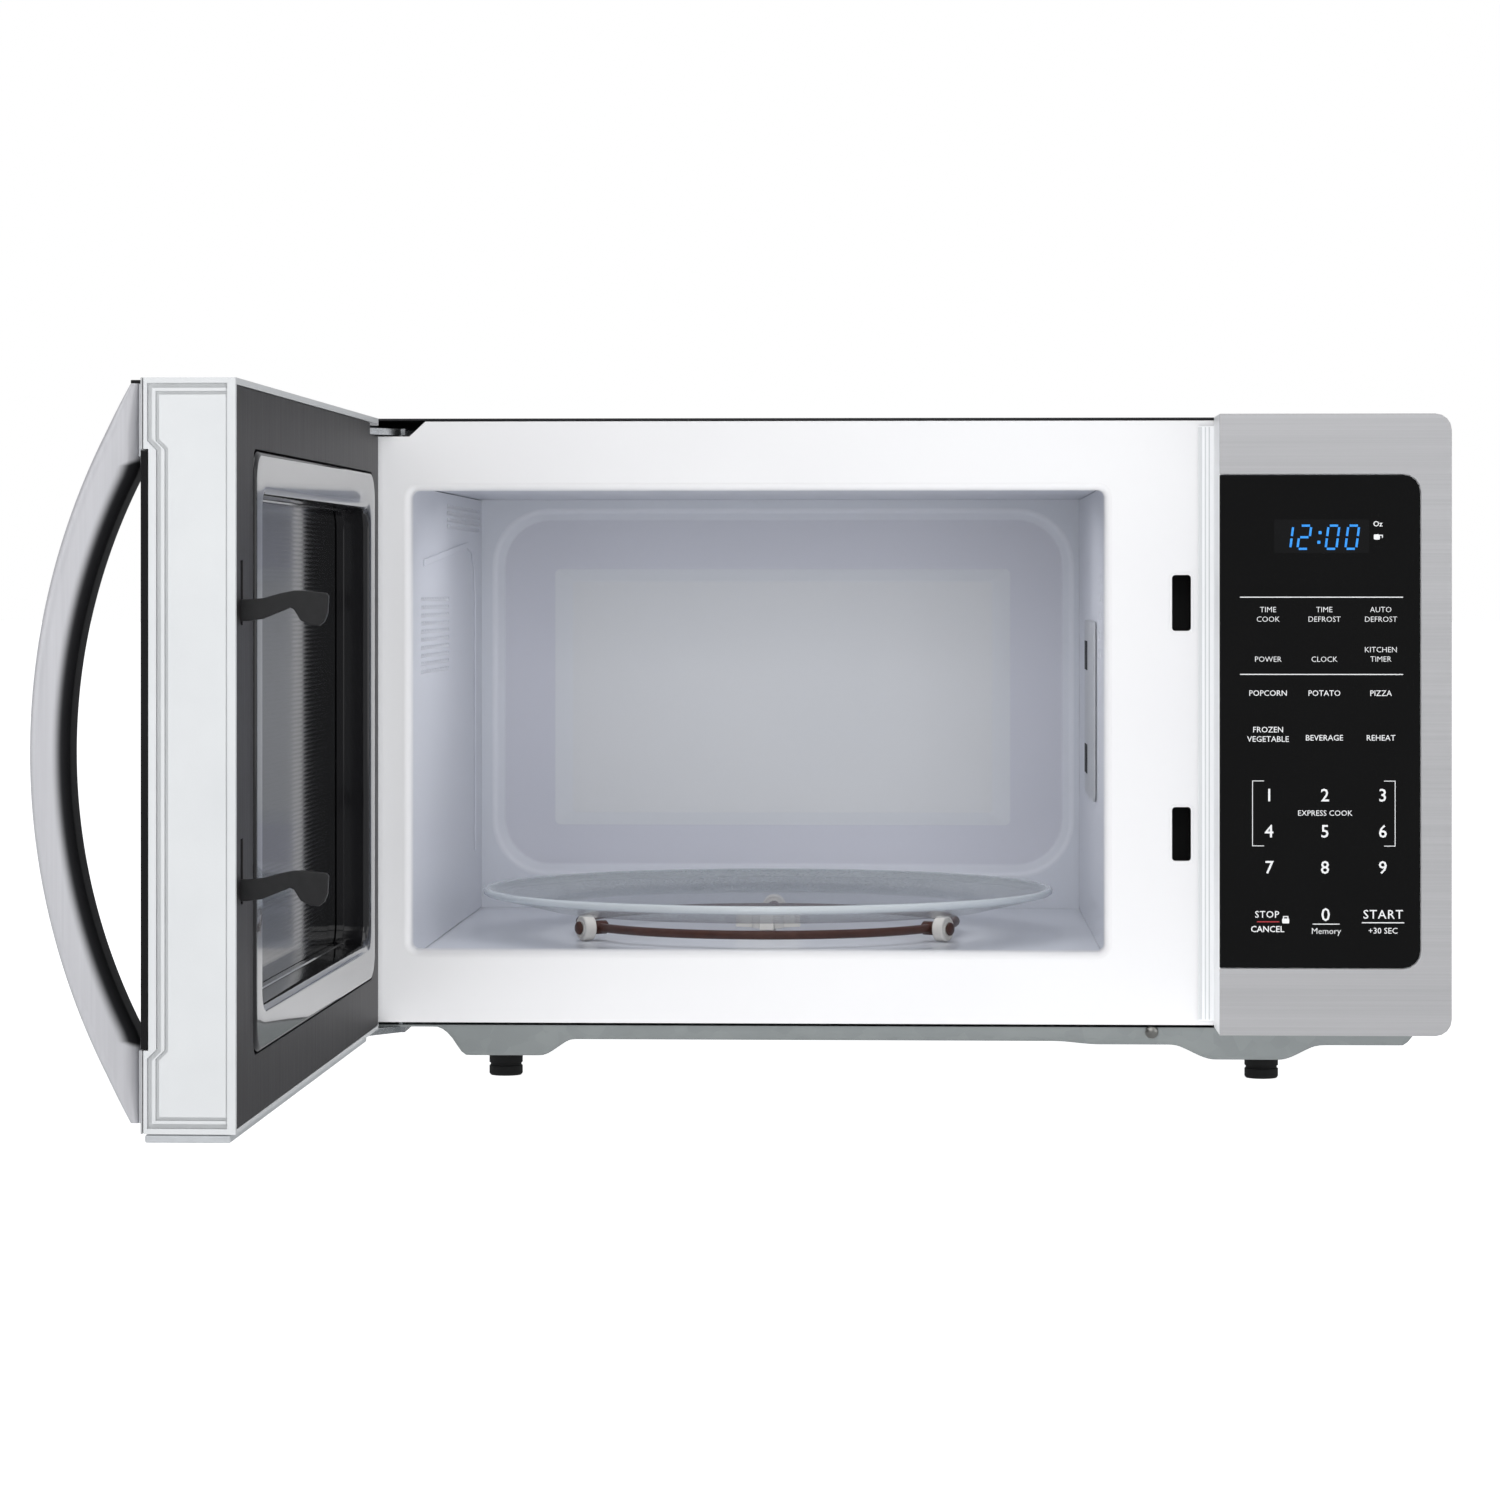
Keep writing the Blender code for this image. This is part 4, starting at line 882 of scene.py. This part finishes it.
def groove(depth_from_front, drop, width, deep):
    """A groove round the free edge: up from the foot, in beside the glass, and over the top."""
    front = -36.9 + depth_from_front
    inner = front + 3.4
    path = (
        (-5.2, 28.0 + drop), (front, 28.0 + drop), (front, GLASS_RANGE[0] - 2.0),
        (inner, GLASS_RANGE[0] + 1.4), (inner, GLASS_RANGE[1] - 1.4), (front, GLASS_RANGE[1] + 2.0),
        (front, 312.5 - drop), (-5.2, 312.5 - drop),
    )
    return turned_sideways(sheet_shape([stroke(path, width)], 2 * deep), FREE_EDGE)


frame_shape = merged_copy("door_frame")
for groove_spec in ((2.3, 3.0, 1.8, 2.2), (5.3, 5.8, 1.3, 1.6)):
    frame_shape = less(frame_shape, hang(groove(*groove_spec)))
rim_line = turned_sideways(sheet_shape([stroke(((-5.4, 31.0), (-5.4, 309.5)), 0.5)], 1.4), FREE_EDGE)
frame_shape = less(frame_shape, hang(rim_line))
bmesh.ops.remove_doubles(frame_shape, verts=frame_shape.verts, dist=0.00001)
white_plastic = Finish("white_door_plastic")
plastic_cloud = white_plastic.noise(25.0, 3.0)
plastic_grain = white_plastic.noise(900.0, 2.0)
white_plastic.feed("Base Color", white_plastic.blend(
    plastic_cloud, paint(182, 184, 186), paint(193, 195, 196),
))
white_plastic.feed("Roughness", plastic_cloud * 0.12 + 0.36)
white_plastic.relief(plastic_grain, 0.00003)
fit(new_piece("door_frame_moulding", frame_shape, white_plastic), "door", "white_plastic", "door_frame")

pip = lathe(bmesh.new(), ((0.0, 0.0), (2.6, 0.0), (2.6, 0.35), (2.1, 0.6), (0.0, 0.6)), (0, 0, 0), "Z", 24)
bmesh.ops.translate(pip, vec=(138.0 * MM, -9.0 * MM, 312.4 * MM), verts=pip.verts)
fit(new_piece("door_top_pip", hang(pip), white_plastic), "door", "white_plastic")


# ---- Door front ---------------------------------------------------------------------------
# The front of the door is a thin skin of brushed stainless steel round a black glass window
# pane, which runs out to the free edge.
def brushed(name, along, dark=(168, 169, 170), light=(196, 197, 198), smooth=0.24, rough=0.42):
    """Stainless steel brushed along one axis, named by its letter."""
    made = Finish(name, 0.4)
    fine = tuple(6.0 if letter == along else 1500.0 for letter in "XYZ")
    broad = tuple(1.5 if letter == along else 260.0 for letter in "XYZ")
    lines = made.noise(fine, 2.0) * 0.6 + made.noise(broad, 3.0) * 0.4
    made.feed("Base Color", made.blend(lines, paint(*dark), paint(*light)))
    made.feed("Roughness", lines * (rough - smooth) + smooth)
    made.relief(lines, 0.00004, 0.6)
    return made


door_steel = brushed("door_brushed_steel", "Y")
softened_copy("door_front_skin", "door_front_trim", 0.2, 1, door_steel, "door", "brushed_steel")

pane_black = Finish("black_pane_glass", 0.0, {"IOR": 1.42})
pane_cloud = pane_black.noise(12.0, 3.0)
pane_black.feed("Base Color", pane_black.blend(pane_cloud, paint(12, 12, 13), paint(20, 20, 21)))
pane_black.feed("Roughness", pane_cloud * 0.06 + 0.05)
softened_copy("door_front_pane", "door_front_glass", 0.5, 2, pane_black, "door", "black_glass")


# ---- Door inside --------------------------------------------------------------------------
# A brown-grey moulded cover snaps over the choke all round the inside of the door. A black
# gloss bezel in it frames the window film, which lies on the perforated steel screen.
cover_plastic = Finish("choke_cover_plastic")
cover_cloud = cover_plastic.noise((7.0, 7.0, 3.0), 3.0)
cover_lines = cover_plastic.noise((600.0, 600.0, 18.0), 3.0)
cover_plastic.feed("Base Color", cover_plastic.blend(
    cover_cloud * 0.6 + cover_lines * 0.4, paint(14, 12, 13), paint(32, 29, 31),
))
cover_plastic.feed("Roughness", cover_lines * 0.15 + 0.42)
cover_plastic.relief(cover_plastic.noise(1200.0, 2.0), 0.00005)
softened_copy(
    "choke_cover_moulding", "door_choke_cover", 0.4, 2, cover_plastic, "door", "brown_grey_plastic",
)

BEZEL = (-228.5, 53.5, 111.5, 286.5)
BEZEL_STEPS = (
    (0.0, -16.2), (0.0, -3.0), (0.25, -2.0), (0.9, -1.2), (2.0, -0.8), (13.6, -0.8), (15.0, -1.0),
    (16.2, -1.7),
    (16.9, -2.8), (17.2, -4.2), (17.4, -12.8), (18.0, -13.2), (18.0, -16.2),
)
bezel_hoops = [
    (rounded_outline(*grown(BEZEL, -inward), 11.0 - inward / 9.0, 10), y) for inward, y in BEZEL_STEPS
]
bezel_gloss = Finish("bezel_gloss_plastic", 0.0, {"Coat Weight": 0.75, "Coat Roughness": 0.04, "IOR": 1.45})
bezel_cloud = bezel_gloss.noise(10.0, 2.0)
bezel_gloss.feed("Base Color", bezel_gloss.blend(bezel_cloud, paint(14, 14, 16), paint(26, 26, 28)))
bezel_gloss.feed("Roughness", bezel_cloud * 0.08 + 0.1)
bezel_gloss.relief(bezel_gloss.noise(60.0, 1.0), 0.00003)
bezel = new_piece("window_bezel_moulding", hang(bridged(bezel_hoops, closed=True)), bezel_gloss, 50.0)
fit(bezel, "door", "black_gloss", "door_window_bezel")

FILM_ROW_PITCH = 0.0019
FILM_COLUMN_PITCH = 0.0022
film = Finish("window_film", 0.0, {"IOR": 1.3})
film_up = film.axis("Z")
film_rows = ((film_up * (2 * math.pi / FILM_ROW_PITCH)).maths("SINE") * 0.5 + 0.5)
film_across = ((film.axis("Y") * (2 * math.pi / FILM_COLUMN_PITCH)).maths("SINE") * 0.5 + 0.5)
film_holes = (film_rows * film_across) ** 2.0
film_cloud = film.noise(5.0, 2.0)
film.feed("Base Color", film.blend(
    film_rows * 0.5 + film_holes * 0.1 + film_cloud * 0.4, paint(4, 4, 5), paint(18, 19, 20),
))
film.feed("Roughness", film_rows * 0.05 + film_cloud * 0.04 + 0.04)
film_piece = new_piece("window_film_sheet", merged_copy("door_window_film"), film)
fit(film_piece, "door", "dark_film", "door_window_film")

screen_paint = Finish("black_screen_paint")
screen_hole = screen_paint.node("TexVoronoi", {"feature": "F1"}, {
    "Vector": screen_paint.spot(560.0), "Scale": 1.0, "Randomness": 0.0,
})
screen_paint.feed("Base Color", screen_paint.blend(screen_hole, paint(10, 10, 10), paint(60, 60, 62)))
screen_paint.feed("Roughness", screen_hole * 0.2 + 0.4)
dress(screen_paint, "door_screen_panel")

rail_silver = grained("silver_rail_plastic", (172, 175, 178), (200, 203, 206), 0.28, 0.42, 0.35,
                      grain=(90.0, 4.0, 260.0))
softened_copy("door_rail_moulding", "door_bottom_rail", 0.7, 3, rail_silver, "door", "silver_plastic")


# ---- Latch --------------------------------------------------------------------------------
# One black lever slides up and down behind the door's free edge. Its two hooks reach through
# the choke cover, and a small steel coil spring pushes it down.
softened_copy(
    "latch_lever_moulding", "latch_lever", 0.5, 2, latch_plastic, "latch", "black_plastic", 50.0,
)
dress(bright_zinc, "latch_spring")


# ---- Handle -------------------------------------------------------------------------------
# A bowed handle moulded in plastic and finished in satin silver, with painted shade along the side
# that fingers close on. Two screws from inside the door hold its ends.
HANDLE = (111.5, 133.5)
HANDLE_ENDS = (29.6, 311.2)
HANDLE_FOOT = -38.4
BOW = 39.5
END_REACH = 7.3
BASE_STRIP = 4.1
FINGER_BOW = 31.2
FINGER_HALF = 116.0
handle_middle = sum(HANDLE_ENDS) / 2
handle_half = (HANDLE_ENDS[1] - HANDLE_ENDS[0]) / 2


def bow(sagitta, half, height):
    """How far a shallow arc stands out at a height from its middle."""
    radius = (half * half + sagitta * sagitta) / (2 * sagitta)
    if abs(height) >= half:
        return 0.0
    return math.sqrt(radius * radius - height * height) - (radius - sagitta)


handle_shape = bmesh.new()
# The layer "inward" carries painted shade: how far towards the finger side each point lies, faded out near
# the ends.
tone = handle_shape.verts.layers.float.new("inward")
loops = []
STATIONS = 72
for station in range(STATIONS + 1):
    height = -handle_half + 2 * handle_half * station / STATIONS
    outer = HANDLE_FOOT - END_REACH - bow(BOW, handle_half, height)
    inner = HANDLE_FOOT - max(BASE_STRIP + 0.1, bow(FINGER_BOW, FINGER_HALF, height))
    radius = min(5.4, (inner - outer) * 0.42)
    outline = rounded_outline(HANDLE[0], outer, HANDLE[1], inner, radius, 6)
    ring_points = []
    for x, y in outline:
        point = handle_shape.verts.new((x * MM, y * MM, (handle_middle + height) * MM))
        point[tone] = (y - outer) / (inner - outer) * min(1.0, bow(FINGER_BOW, FINGER_HALF, height) / 3.0)
        ring_points.append(point)
    next_points = ring_points[1:] + ring_points[:1]
    loops.append([handle_shape.edges.new(pair) for pair in zip(ring_points, next_points)])
for first, second in zip(loops, loops[1:]):
    bmesh.ops.bridge_loops(handle_shape, edges=first + second)
for end in (loops[0], loops[-1]):
    bmesh.ops.contextual_create(handle_shape, geom=end)
bmesh.ops.recalc_face_normals(handle_shape, faces=handle_shape.faces)
satin_silver = Finish("satin_silver", 0.35)
inward = satin_silver.node("Attribute", {"attribute_name": "inward"}, None, 2)
satin_lines = satin_silver.noise((900.0, 900.0, 8.0), 3.0)
satin_cloud = satin_silver.noise((30.0, 30.0, 10.0), 2.0)
# Painted shade: the finger side is blended to dark grey for its shading and the dark reflection it catches.
shade_in = satin_silver.node("MapRange", {"interpolation_type": "SMOOTHSTEP"}, {0: inward, 1: 0.57, 2: 0.84})
silver_tone = satin_silver.blend(
    satin_lines * 0.6 + satin_cloud * 0.4, paint(178, 178, 182), paint(204, 204, 208),
)
satin_silver.feed("Base Color", satin_silver.blend(shade_in, silver_tone, paint(36, 36, 38)))
satin_silver.feed("Roughness", satin_lines * 0.14 + 0.26)
satin_silver.relief(satin_lines, 0.00003, 0.5)
handle = new_piece("door_handle_bow", hang(handle_shape), satin_silver, 60.0)
fit(handle, "door", "silver_plastic", "door_handle")
dress(screw_zinc, "handle_screw_lower", "handle_screw_upper")

cap = bmesh.new()
bmesh.ops.create_cube(cap, size=MM)
bmesh.ops.scale(cap, vec=(20.0, 6.6, 1.3), verts=cap.verts)
bmesh.ops.translate(cap, vec=Vector((122.5, HANDLE_FOOT - 4.0, 311.9)) * MM, verts=cap.verts)
soften(cap, 0.25, 2)
fit(new_piece("handle_end_cap", hang(cap), shade_and_cap_black), "door", "black_plastic")

strip_finish = grained("silver_strip_plastic", (176, 179, 183), (206, 208, 211), 0.3, 0.45, 0.3,
                       grain=(420.0, 420.0, 6.0))
for strip_name, strip_low, strip_high in (("lower", 29.6, 57.5), ("upper", 283.3, 311.2)):
    base = bmesh.new()
    for depth, width in ((0.0, 1.4), (1.6, 1.2), (3.0, 1.0)):
        layer = bmesh.ops.create_cube(base, size=MM)["verts"]
        bmesh.ops.scale(base, vec=(22.0, width, strip_high - strip_low), verts=layer)
        middle = Vector((122.5, HANDLE_FOOT - depth - width / 2, (strip_low + strip_high) / 2))
        bmesh.ops.translate(base, vec=middle * MM, verts=layer)
    soften(base, 0.4, 2)
    fit(new_piece("handle_base_" + strip_name, hang(base), strip_finish), "door", "silver_plastic")


# ---- Control panel ------------------------------------------------------------------------
# A white plastic box screwed to the right of the front plate, skinned with brushed stainless
# steel. A flat black glass keypad is let into it, with its legends printed in pale grey.
panel_white = grained("white_panel_plastic", (232, 234, 236), (242, 243, 244), 0.34, 0.46,
                      grain=(60.0, 60.0, 14.0), depth=0.00003)
softened_copy("panel_frame_moulding", "panel_frame", 0.3, 1, panel_white, "oven", "white_plastic")
panel_steel = brushed("panel_brushed_steel", "X", (164, 164, 166), (194, 194, 196))
softened_copy("panel_skin", "panel_fascia", 0.3, 2, panel_steel, "oven", "brushed_steel")
keypad_black = Finish("keypad_black_glass", 0.0, {"IOR": 1.32})
keypad_cloud = keypad_black.noise(15.0, 3.0)
keypad_black.feed("Base Color", keypad_black.blend(keypad_cloud, paint(6, 6, 6), paint(10, 10, 10)))
keypad_black.feed("Roughness", keypad_cloud * 0.06 + 0.07)
softened_copy("panel_keypad_glass", "panel_glass", 0.45, 2, keypad_black, "oven", "black_glass")

# Painted shade: thin grey strips on the panel's flange stand in for the shading of its grooves.
flange_shade_grey = grained("painted_flange_shade_grey", (196, 198, 200), (212, 214, 216), 0.4, 0.55,
                    grain=(40.0, 40.0, 12.0), depth=0.00003)
strip_shape = bmesh.new()
for left, right in ((147.5, 149.2), (150.4, 151.0), (152.2, 152.8)):
    strip = bmesh.ops.create_cube(strip_shape, size=MM)["verts"]
    bmesh.ops.scale(strip_shape, vec=(right - left, 0.28, 276.0), verts=strip)
    bmesh.ops.translate(strip_shape, vec=((left + right) / 2 * MM, -1.74 * MM, 170.5 * MM), verts=strip)
soften(strip_shape, 0.1, 1)
fit(new_piece("panel_edge_shade_lines", stand(strip_shape), flange_shade_grey), "oven", "white_plastic")

LEGEND_FACE = -38.2
PRINT = 0.05


def printed(shape, words, x, z, height, boldness=0.0, spread=1.0):
    """Print words centred on a point of the keypad, with capitals of this height."""
    letters = bpy.data.curves.new("words", "FONT")
    letters.body = words
    letters.size = height / 0.73 * MM
    letters.align_x = "CENTER"
    letters.align_y = "CENTER"
    letters.extrude = PRINT / 2 * MM
    letters.offset = boldness * MM
    letters.space_character = spread
    letters.resolution_u = 2
    words_shape = made_mesh(letters)
    bmesh.ops.translate(
        words_shape, vec=Vector((x, LEGEND_FACE - PRINT / 2, z)) * MM, verts=words_shape.verts,
    )
    return joined(shape, words_shape)


def ruled(shape, *outlines):
    """Print flat outlines on the keypad."""
    for outline in outlines:
        mark = sheet_shape([outline], PRINT)
        bmesh.ops.translate(mark, vec=(0, (LEGEND_FACE - PRINT / 2) * MM, 0), verts=mark.verts)
        joined(shape, mark)
    return shape


COLUMNS = (176.9, 202.5, 228.2)
KEY_COLUMNS = (177.4, 202.8, 229.1)
legends = bmesh.new()
SMALL_WORDS = (
    ("TIME", 0, 223.5), ("COOK", 0, 219.1), ("TIME", 1, 223.5), ("DEFROST", 1, 219.1), ("AUTO", 2, 223.5),
    ("DEFROST", 2, 219.1), ("POWER", 0, 200.8), ("CLOCK", 1, 200.8), ("KITCHEN", 2, 205.2),
    ("TIMER", 2, 200.9),
)
BOLD_WORDS = (
    ("POPCORN", 0, 185.3), ("POTATO", 1, 185.3), ("PIZZA", 2, 185.3), ("FROZEN", 0, 168.6),
    ("VEGETABLE", 0, 164.3), ("BEVERAGE", 1, 164.9), ("REHEAT", 2, 164.9),
)
for words, column, z in SMALL_WORDS:
    printed(legends, words, COLUMNS[column], z, 2.6, -0.035)
for words, column, z in BOLD_WORDS:
    printed(legends, words, COLUMNS[column], z, 2.7, 0.0)
for index, digit in enumerate("123456789"):
    printed(legends, digit, KEY_COLUMNS[index % 3], (138.5, 122.0, 105.5)[index // 3], 6.0, 0.06)
printed(legends, "EXPRESS COOK", 202.8, 130.5, 2.6, -0.01)
printed(legends, "STOP", 176.4, 84.1, 3.2, 0.02, 1.1)
printed(legends, "CANCEL", 176.6, 77.4, 2.9, 0.04)
printed(legends, "0", 203.1, 83.9, 6.2, 0.05)
printed(legends, "Memory", 203.3, 76.6, 2.9, -0.03)
printed(legends, "START", 229.2, 84.2, 4.2, 0.02, 1.12)
printed(legends, "+30 SEC", 229.2, 76.8, 2.8, 0.0)
ruled(
    legends,
    stroke(((164.1, 229.3), (238.3, 229.3)), 0.42),
    stroke(((164.1, 194.0), (238.3, 194.0)), 0.42),
    stroke(((175.0, 145.3), (169.8, 145.3), (169.8, 115.6), (175.0, 115.6)), 0.32),
    stroke(((229.7, 145.3), (234.7, 145.3), (234.7, 115.6), (229.7, 115.6)), 0.32),
    stroke(((197.2, 79.9), (209.4, 79.9)), 0.4),
    stroke(((219.6, 80.6), (238.8, 80.6)), 0.45),
    stroke(((183.9, 82.4), (183.9, 83.3), (185.9, 83.3), (185.9, 82.4)), 0.45),
    rounded_outline(183.3, 80.2, 186.5, 82.4, 0.3, 2),
)
printed(legends, "Oz", 226.8, 262.7, 2.5, 0.04)
ruled(
    legends,
    rounded_outline(225.0, 255.6, 227.8, 258.0, 0.6, 3),
    stroke(((227.8, 257.6), (228.9, 257.6), (228.9, 256.4)), 0.4),
)
legend_ink = grained("pale_grey_print", (206, 207, 208), (226, 227, 228), 0.4, 0.55, grain=300.0)
fit(new_piece("keypad_legends", stand(legends), legend_ink), "oven", "black_glass")

red_rule = ruled(bmesh.new(), stroke(((171.8, 80.9), (182.0, 80.9)), 0.5))
red_ink = grained("red_print", (150, 34, 44), (172, 46, 54), 0.4, 0.55, grain=300.0)
fit(new_piece("keypad_red_rule", stand(red_rule), red_ink), "oven", "black_glass")

SEGMENTS = {
    "top": ((0.7, 1.0), (2.0, 1.0)), "upper_right": ((2.2, 0.93), (2.2, 0.55)),
    "lower_right": ((2.2, 0.45), (2.2, 0.07)), "foot": ((0.7, 0.0), (2.0, 0.0)),
    "lower_left": ((0.5, 0.07), (0.5, 0.45)), "upper_left": ((0.5, 0.55), (0.5, 0.93)),
    "middle": ((0.7, 0.5), (2.0, 0.5)),
}
LIT = {
    "1": ("upper_right", "lower_right"), "2": ("top", "upper_right", "middle", "lower_left", "foot"),
    "0": ("top", "upper_right", "lower_right", "foot", "lower_left", "upper_left"),
}
DIGIT_HEIGHT = 10.6
DIGIT_LOW = 251.4
SLANT = 0.13
digits = bmesh.new()
for digit, left in zip("1200", (180.6, 188.8, 201.6, 210.6)):
    for name in LIT[digit]:
        ends = []
        for across, up in SEGMENTS[name]:
            rise = up * DIGIT_HEIGHT
            ends.append((left + across * 2.9 + rise * SLANT, DIGIT_LOW + rise))
        ruled(digits, stroke(ends, 1.0))
for rise in (3.0, 7.4):
    dot_x = 199.6 + rise * SLANT
    dot_z = DIGIT_LOW + rise
    ruled(digits, rounded_outline(*grown((dot_x, dot_z, dot_x, dot_z), 0.7), 0.3, 2))
display_glow = Finish("blue_display_glow", 0.0, {"Emission Strength": 0.3})
glow_cloud = display_glow.noise(500.0, 1.0)
display_glow.feed("Base Color", display_glow.blend(glow_cloud, paint(20, 110, 190), paint(40, 140, 220)))
display_glow.feed("Emission Color", display_glow.blend(glow_cloud, paint(20, 120, 215), paint(50, 150, 235)))
display_glow.feed("Roughness", glow_cloud * 0.1 + 0.4)
fit(new_piece("display_digits", stand(digits), display_glow), "oven", "display_blue")
window = ruled(bmesh.new(), rounded_outline(179.7, 249.5, 222.9, 264.8, 0.4, 2))
bmesh.ops.translate(window, vec=(0, 0.03 * MM, 0), verts=window.verts)
display_dark = grained("display_window_tint", (0, 0, 0), (3, 3, 4), 0.08, 0.14, grain=30.0)
fit(new_piece("display_window", stand(window), display_dark), "oven", "black_glass")


# ---- Works inside the case ----------------------------------------------------------------
# Behind the control panel are the keypad board, the transformer, magnetron, capacitor and fan,
# and the three microswitches that the hooks press. Most are bought-in parts on steel brackets.
board = Finish("green_board")
board_tracks = board.node("TexVoronoi", {"feature": "F1", "distance": "CHEBYCHEV"}, {
    "Vector": board.spot(420.0), "Scale": 1.0,
})
board.feed("Base Color", board.blend(board_tracks, paint(30, 78, 44), paint(66, 122, 70)))
board.feed("Roughness", board_tracks * 0.2 + 0.35)
dress(board, "control_board", "filter_board")
dress(display_dark, "display_module")

works_steel = Finish("laminated_steel", 0.6)
laminations = works_steel.noise((1800.0, 60.0, 60.0), 2.0)
works_steel.feed("Base Color", works_steel.blend(laminations, paint(58, 58, 60), paint(112, 112, 115)))
works_steel.feed("Roughness", laminations * 0.2 + 0.4)
works_steel.relief(laminations, 0.0001)
dress(works_steel, "transformer", "magnetron", "fan_motor")

can_metal = grained("drawn_aluminium", (176, 178, 182), (212, 214, 217), 0.22, 0.4, 0.95,
                    grain=(30.0, 30.0, 600.0))
dress(can_metal, "capacitor")
dress(galvanised, "waveguide", "turntable_motor")
fan_plastic = grained("fan_plastic", (20, 20, 21), (36, 36, 38), 0.4, 0.6, grain=300.0, depth=0.00004)
dress(fan_plastic, "fan_shroud", "fan_blade", "diode", "thermal_cutout")
switch_plastic = grained("switch_plastic", (62, 36, 26), (92, 56, 40), 0.4, 0.6, grain=300.0, depth=0.00004)
dress(switch_plastic, "switch_lower", "switch_middle", "switch_upper")
bulb = grained("frosted_bulb_glass", (224, 214, 188), (246, 238, 216), 0.25, 0.4, grain=120.0)
dress(bulb, "cavity_lamp")
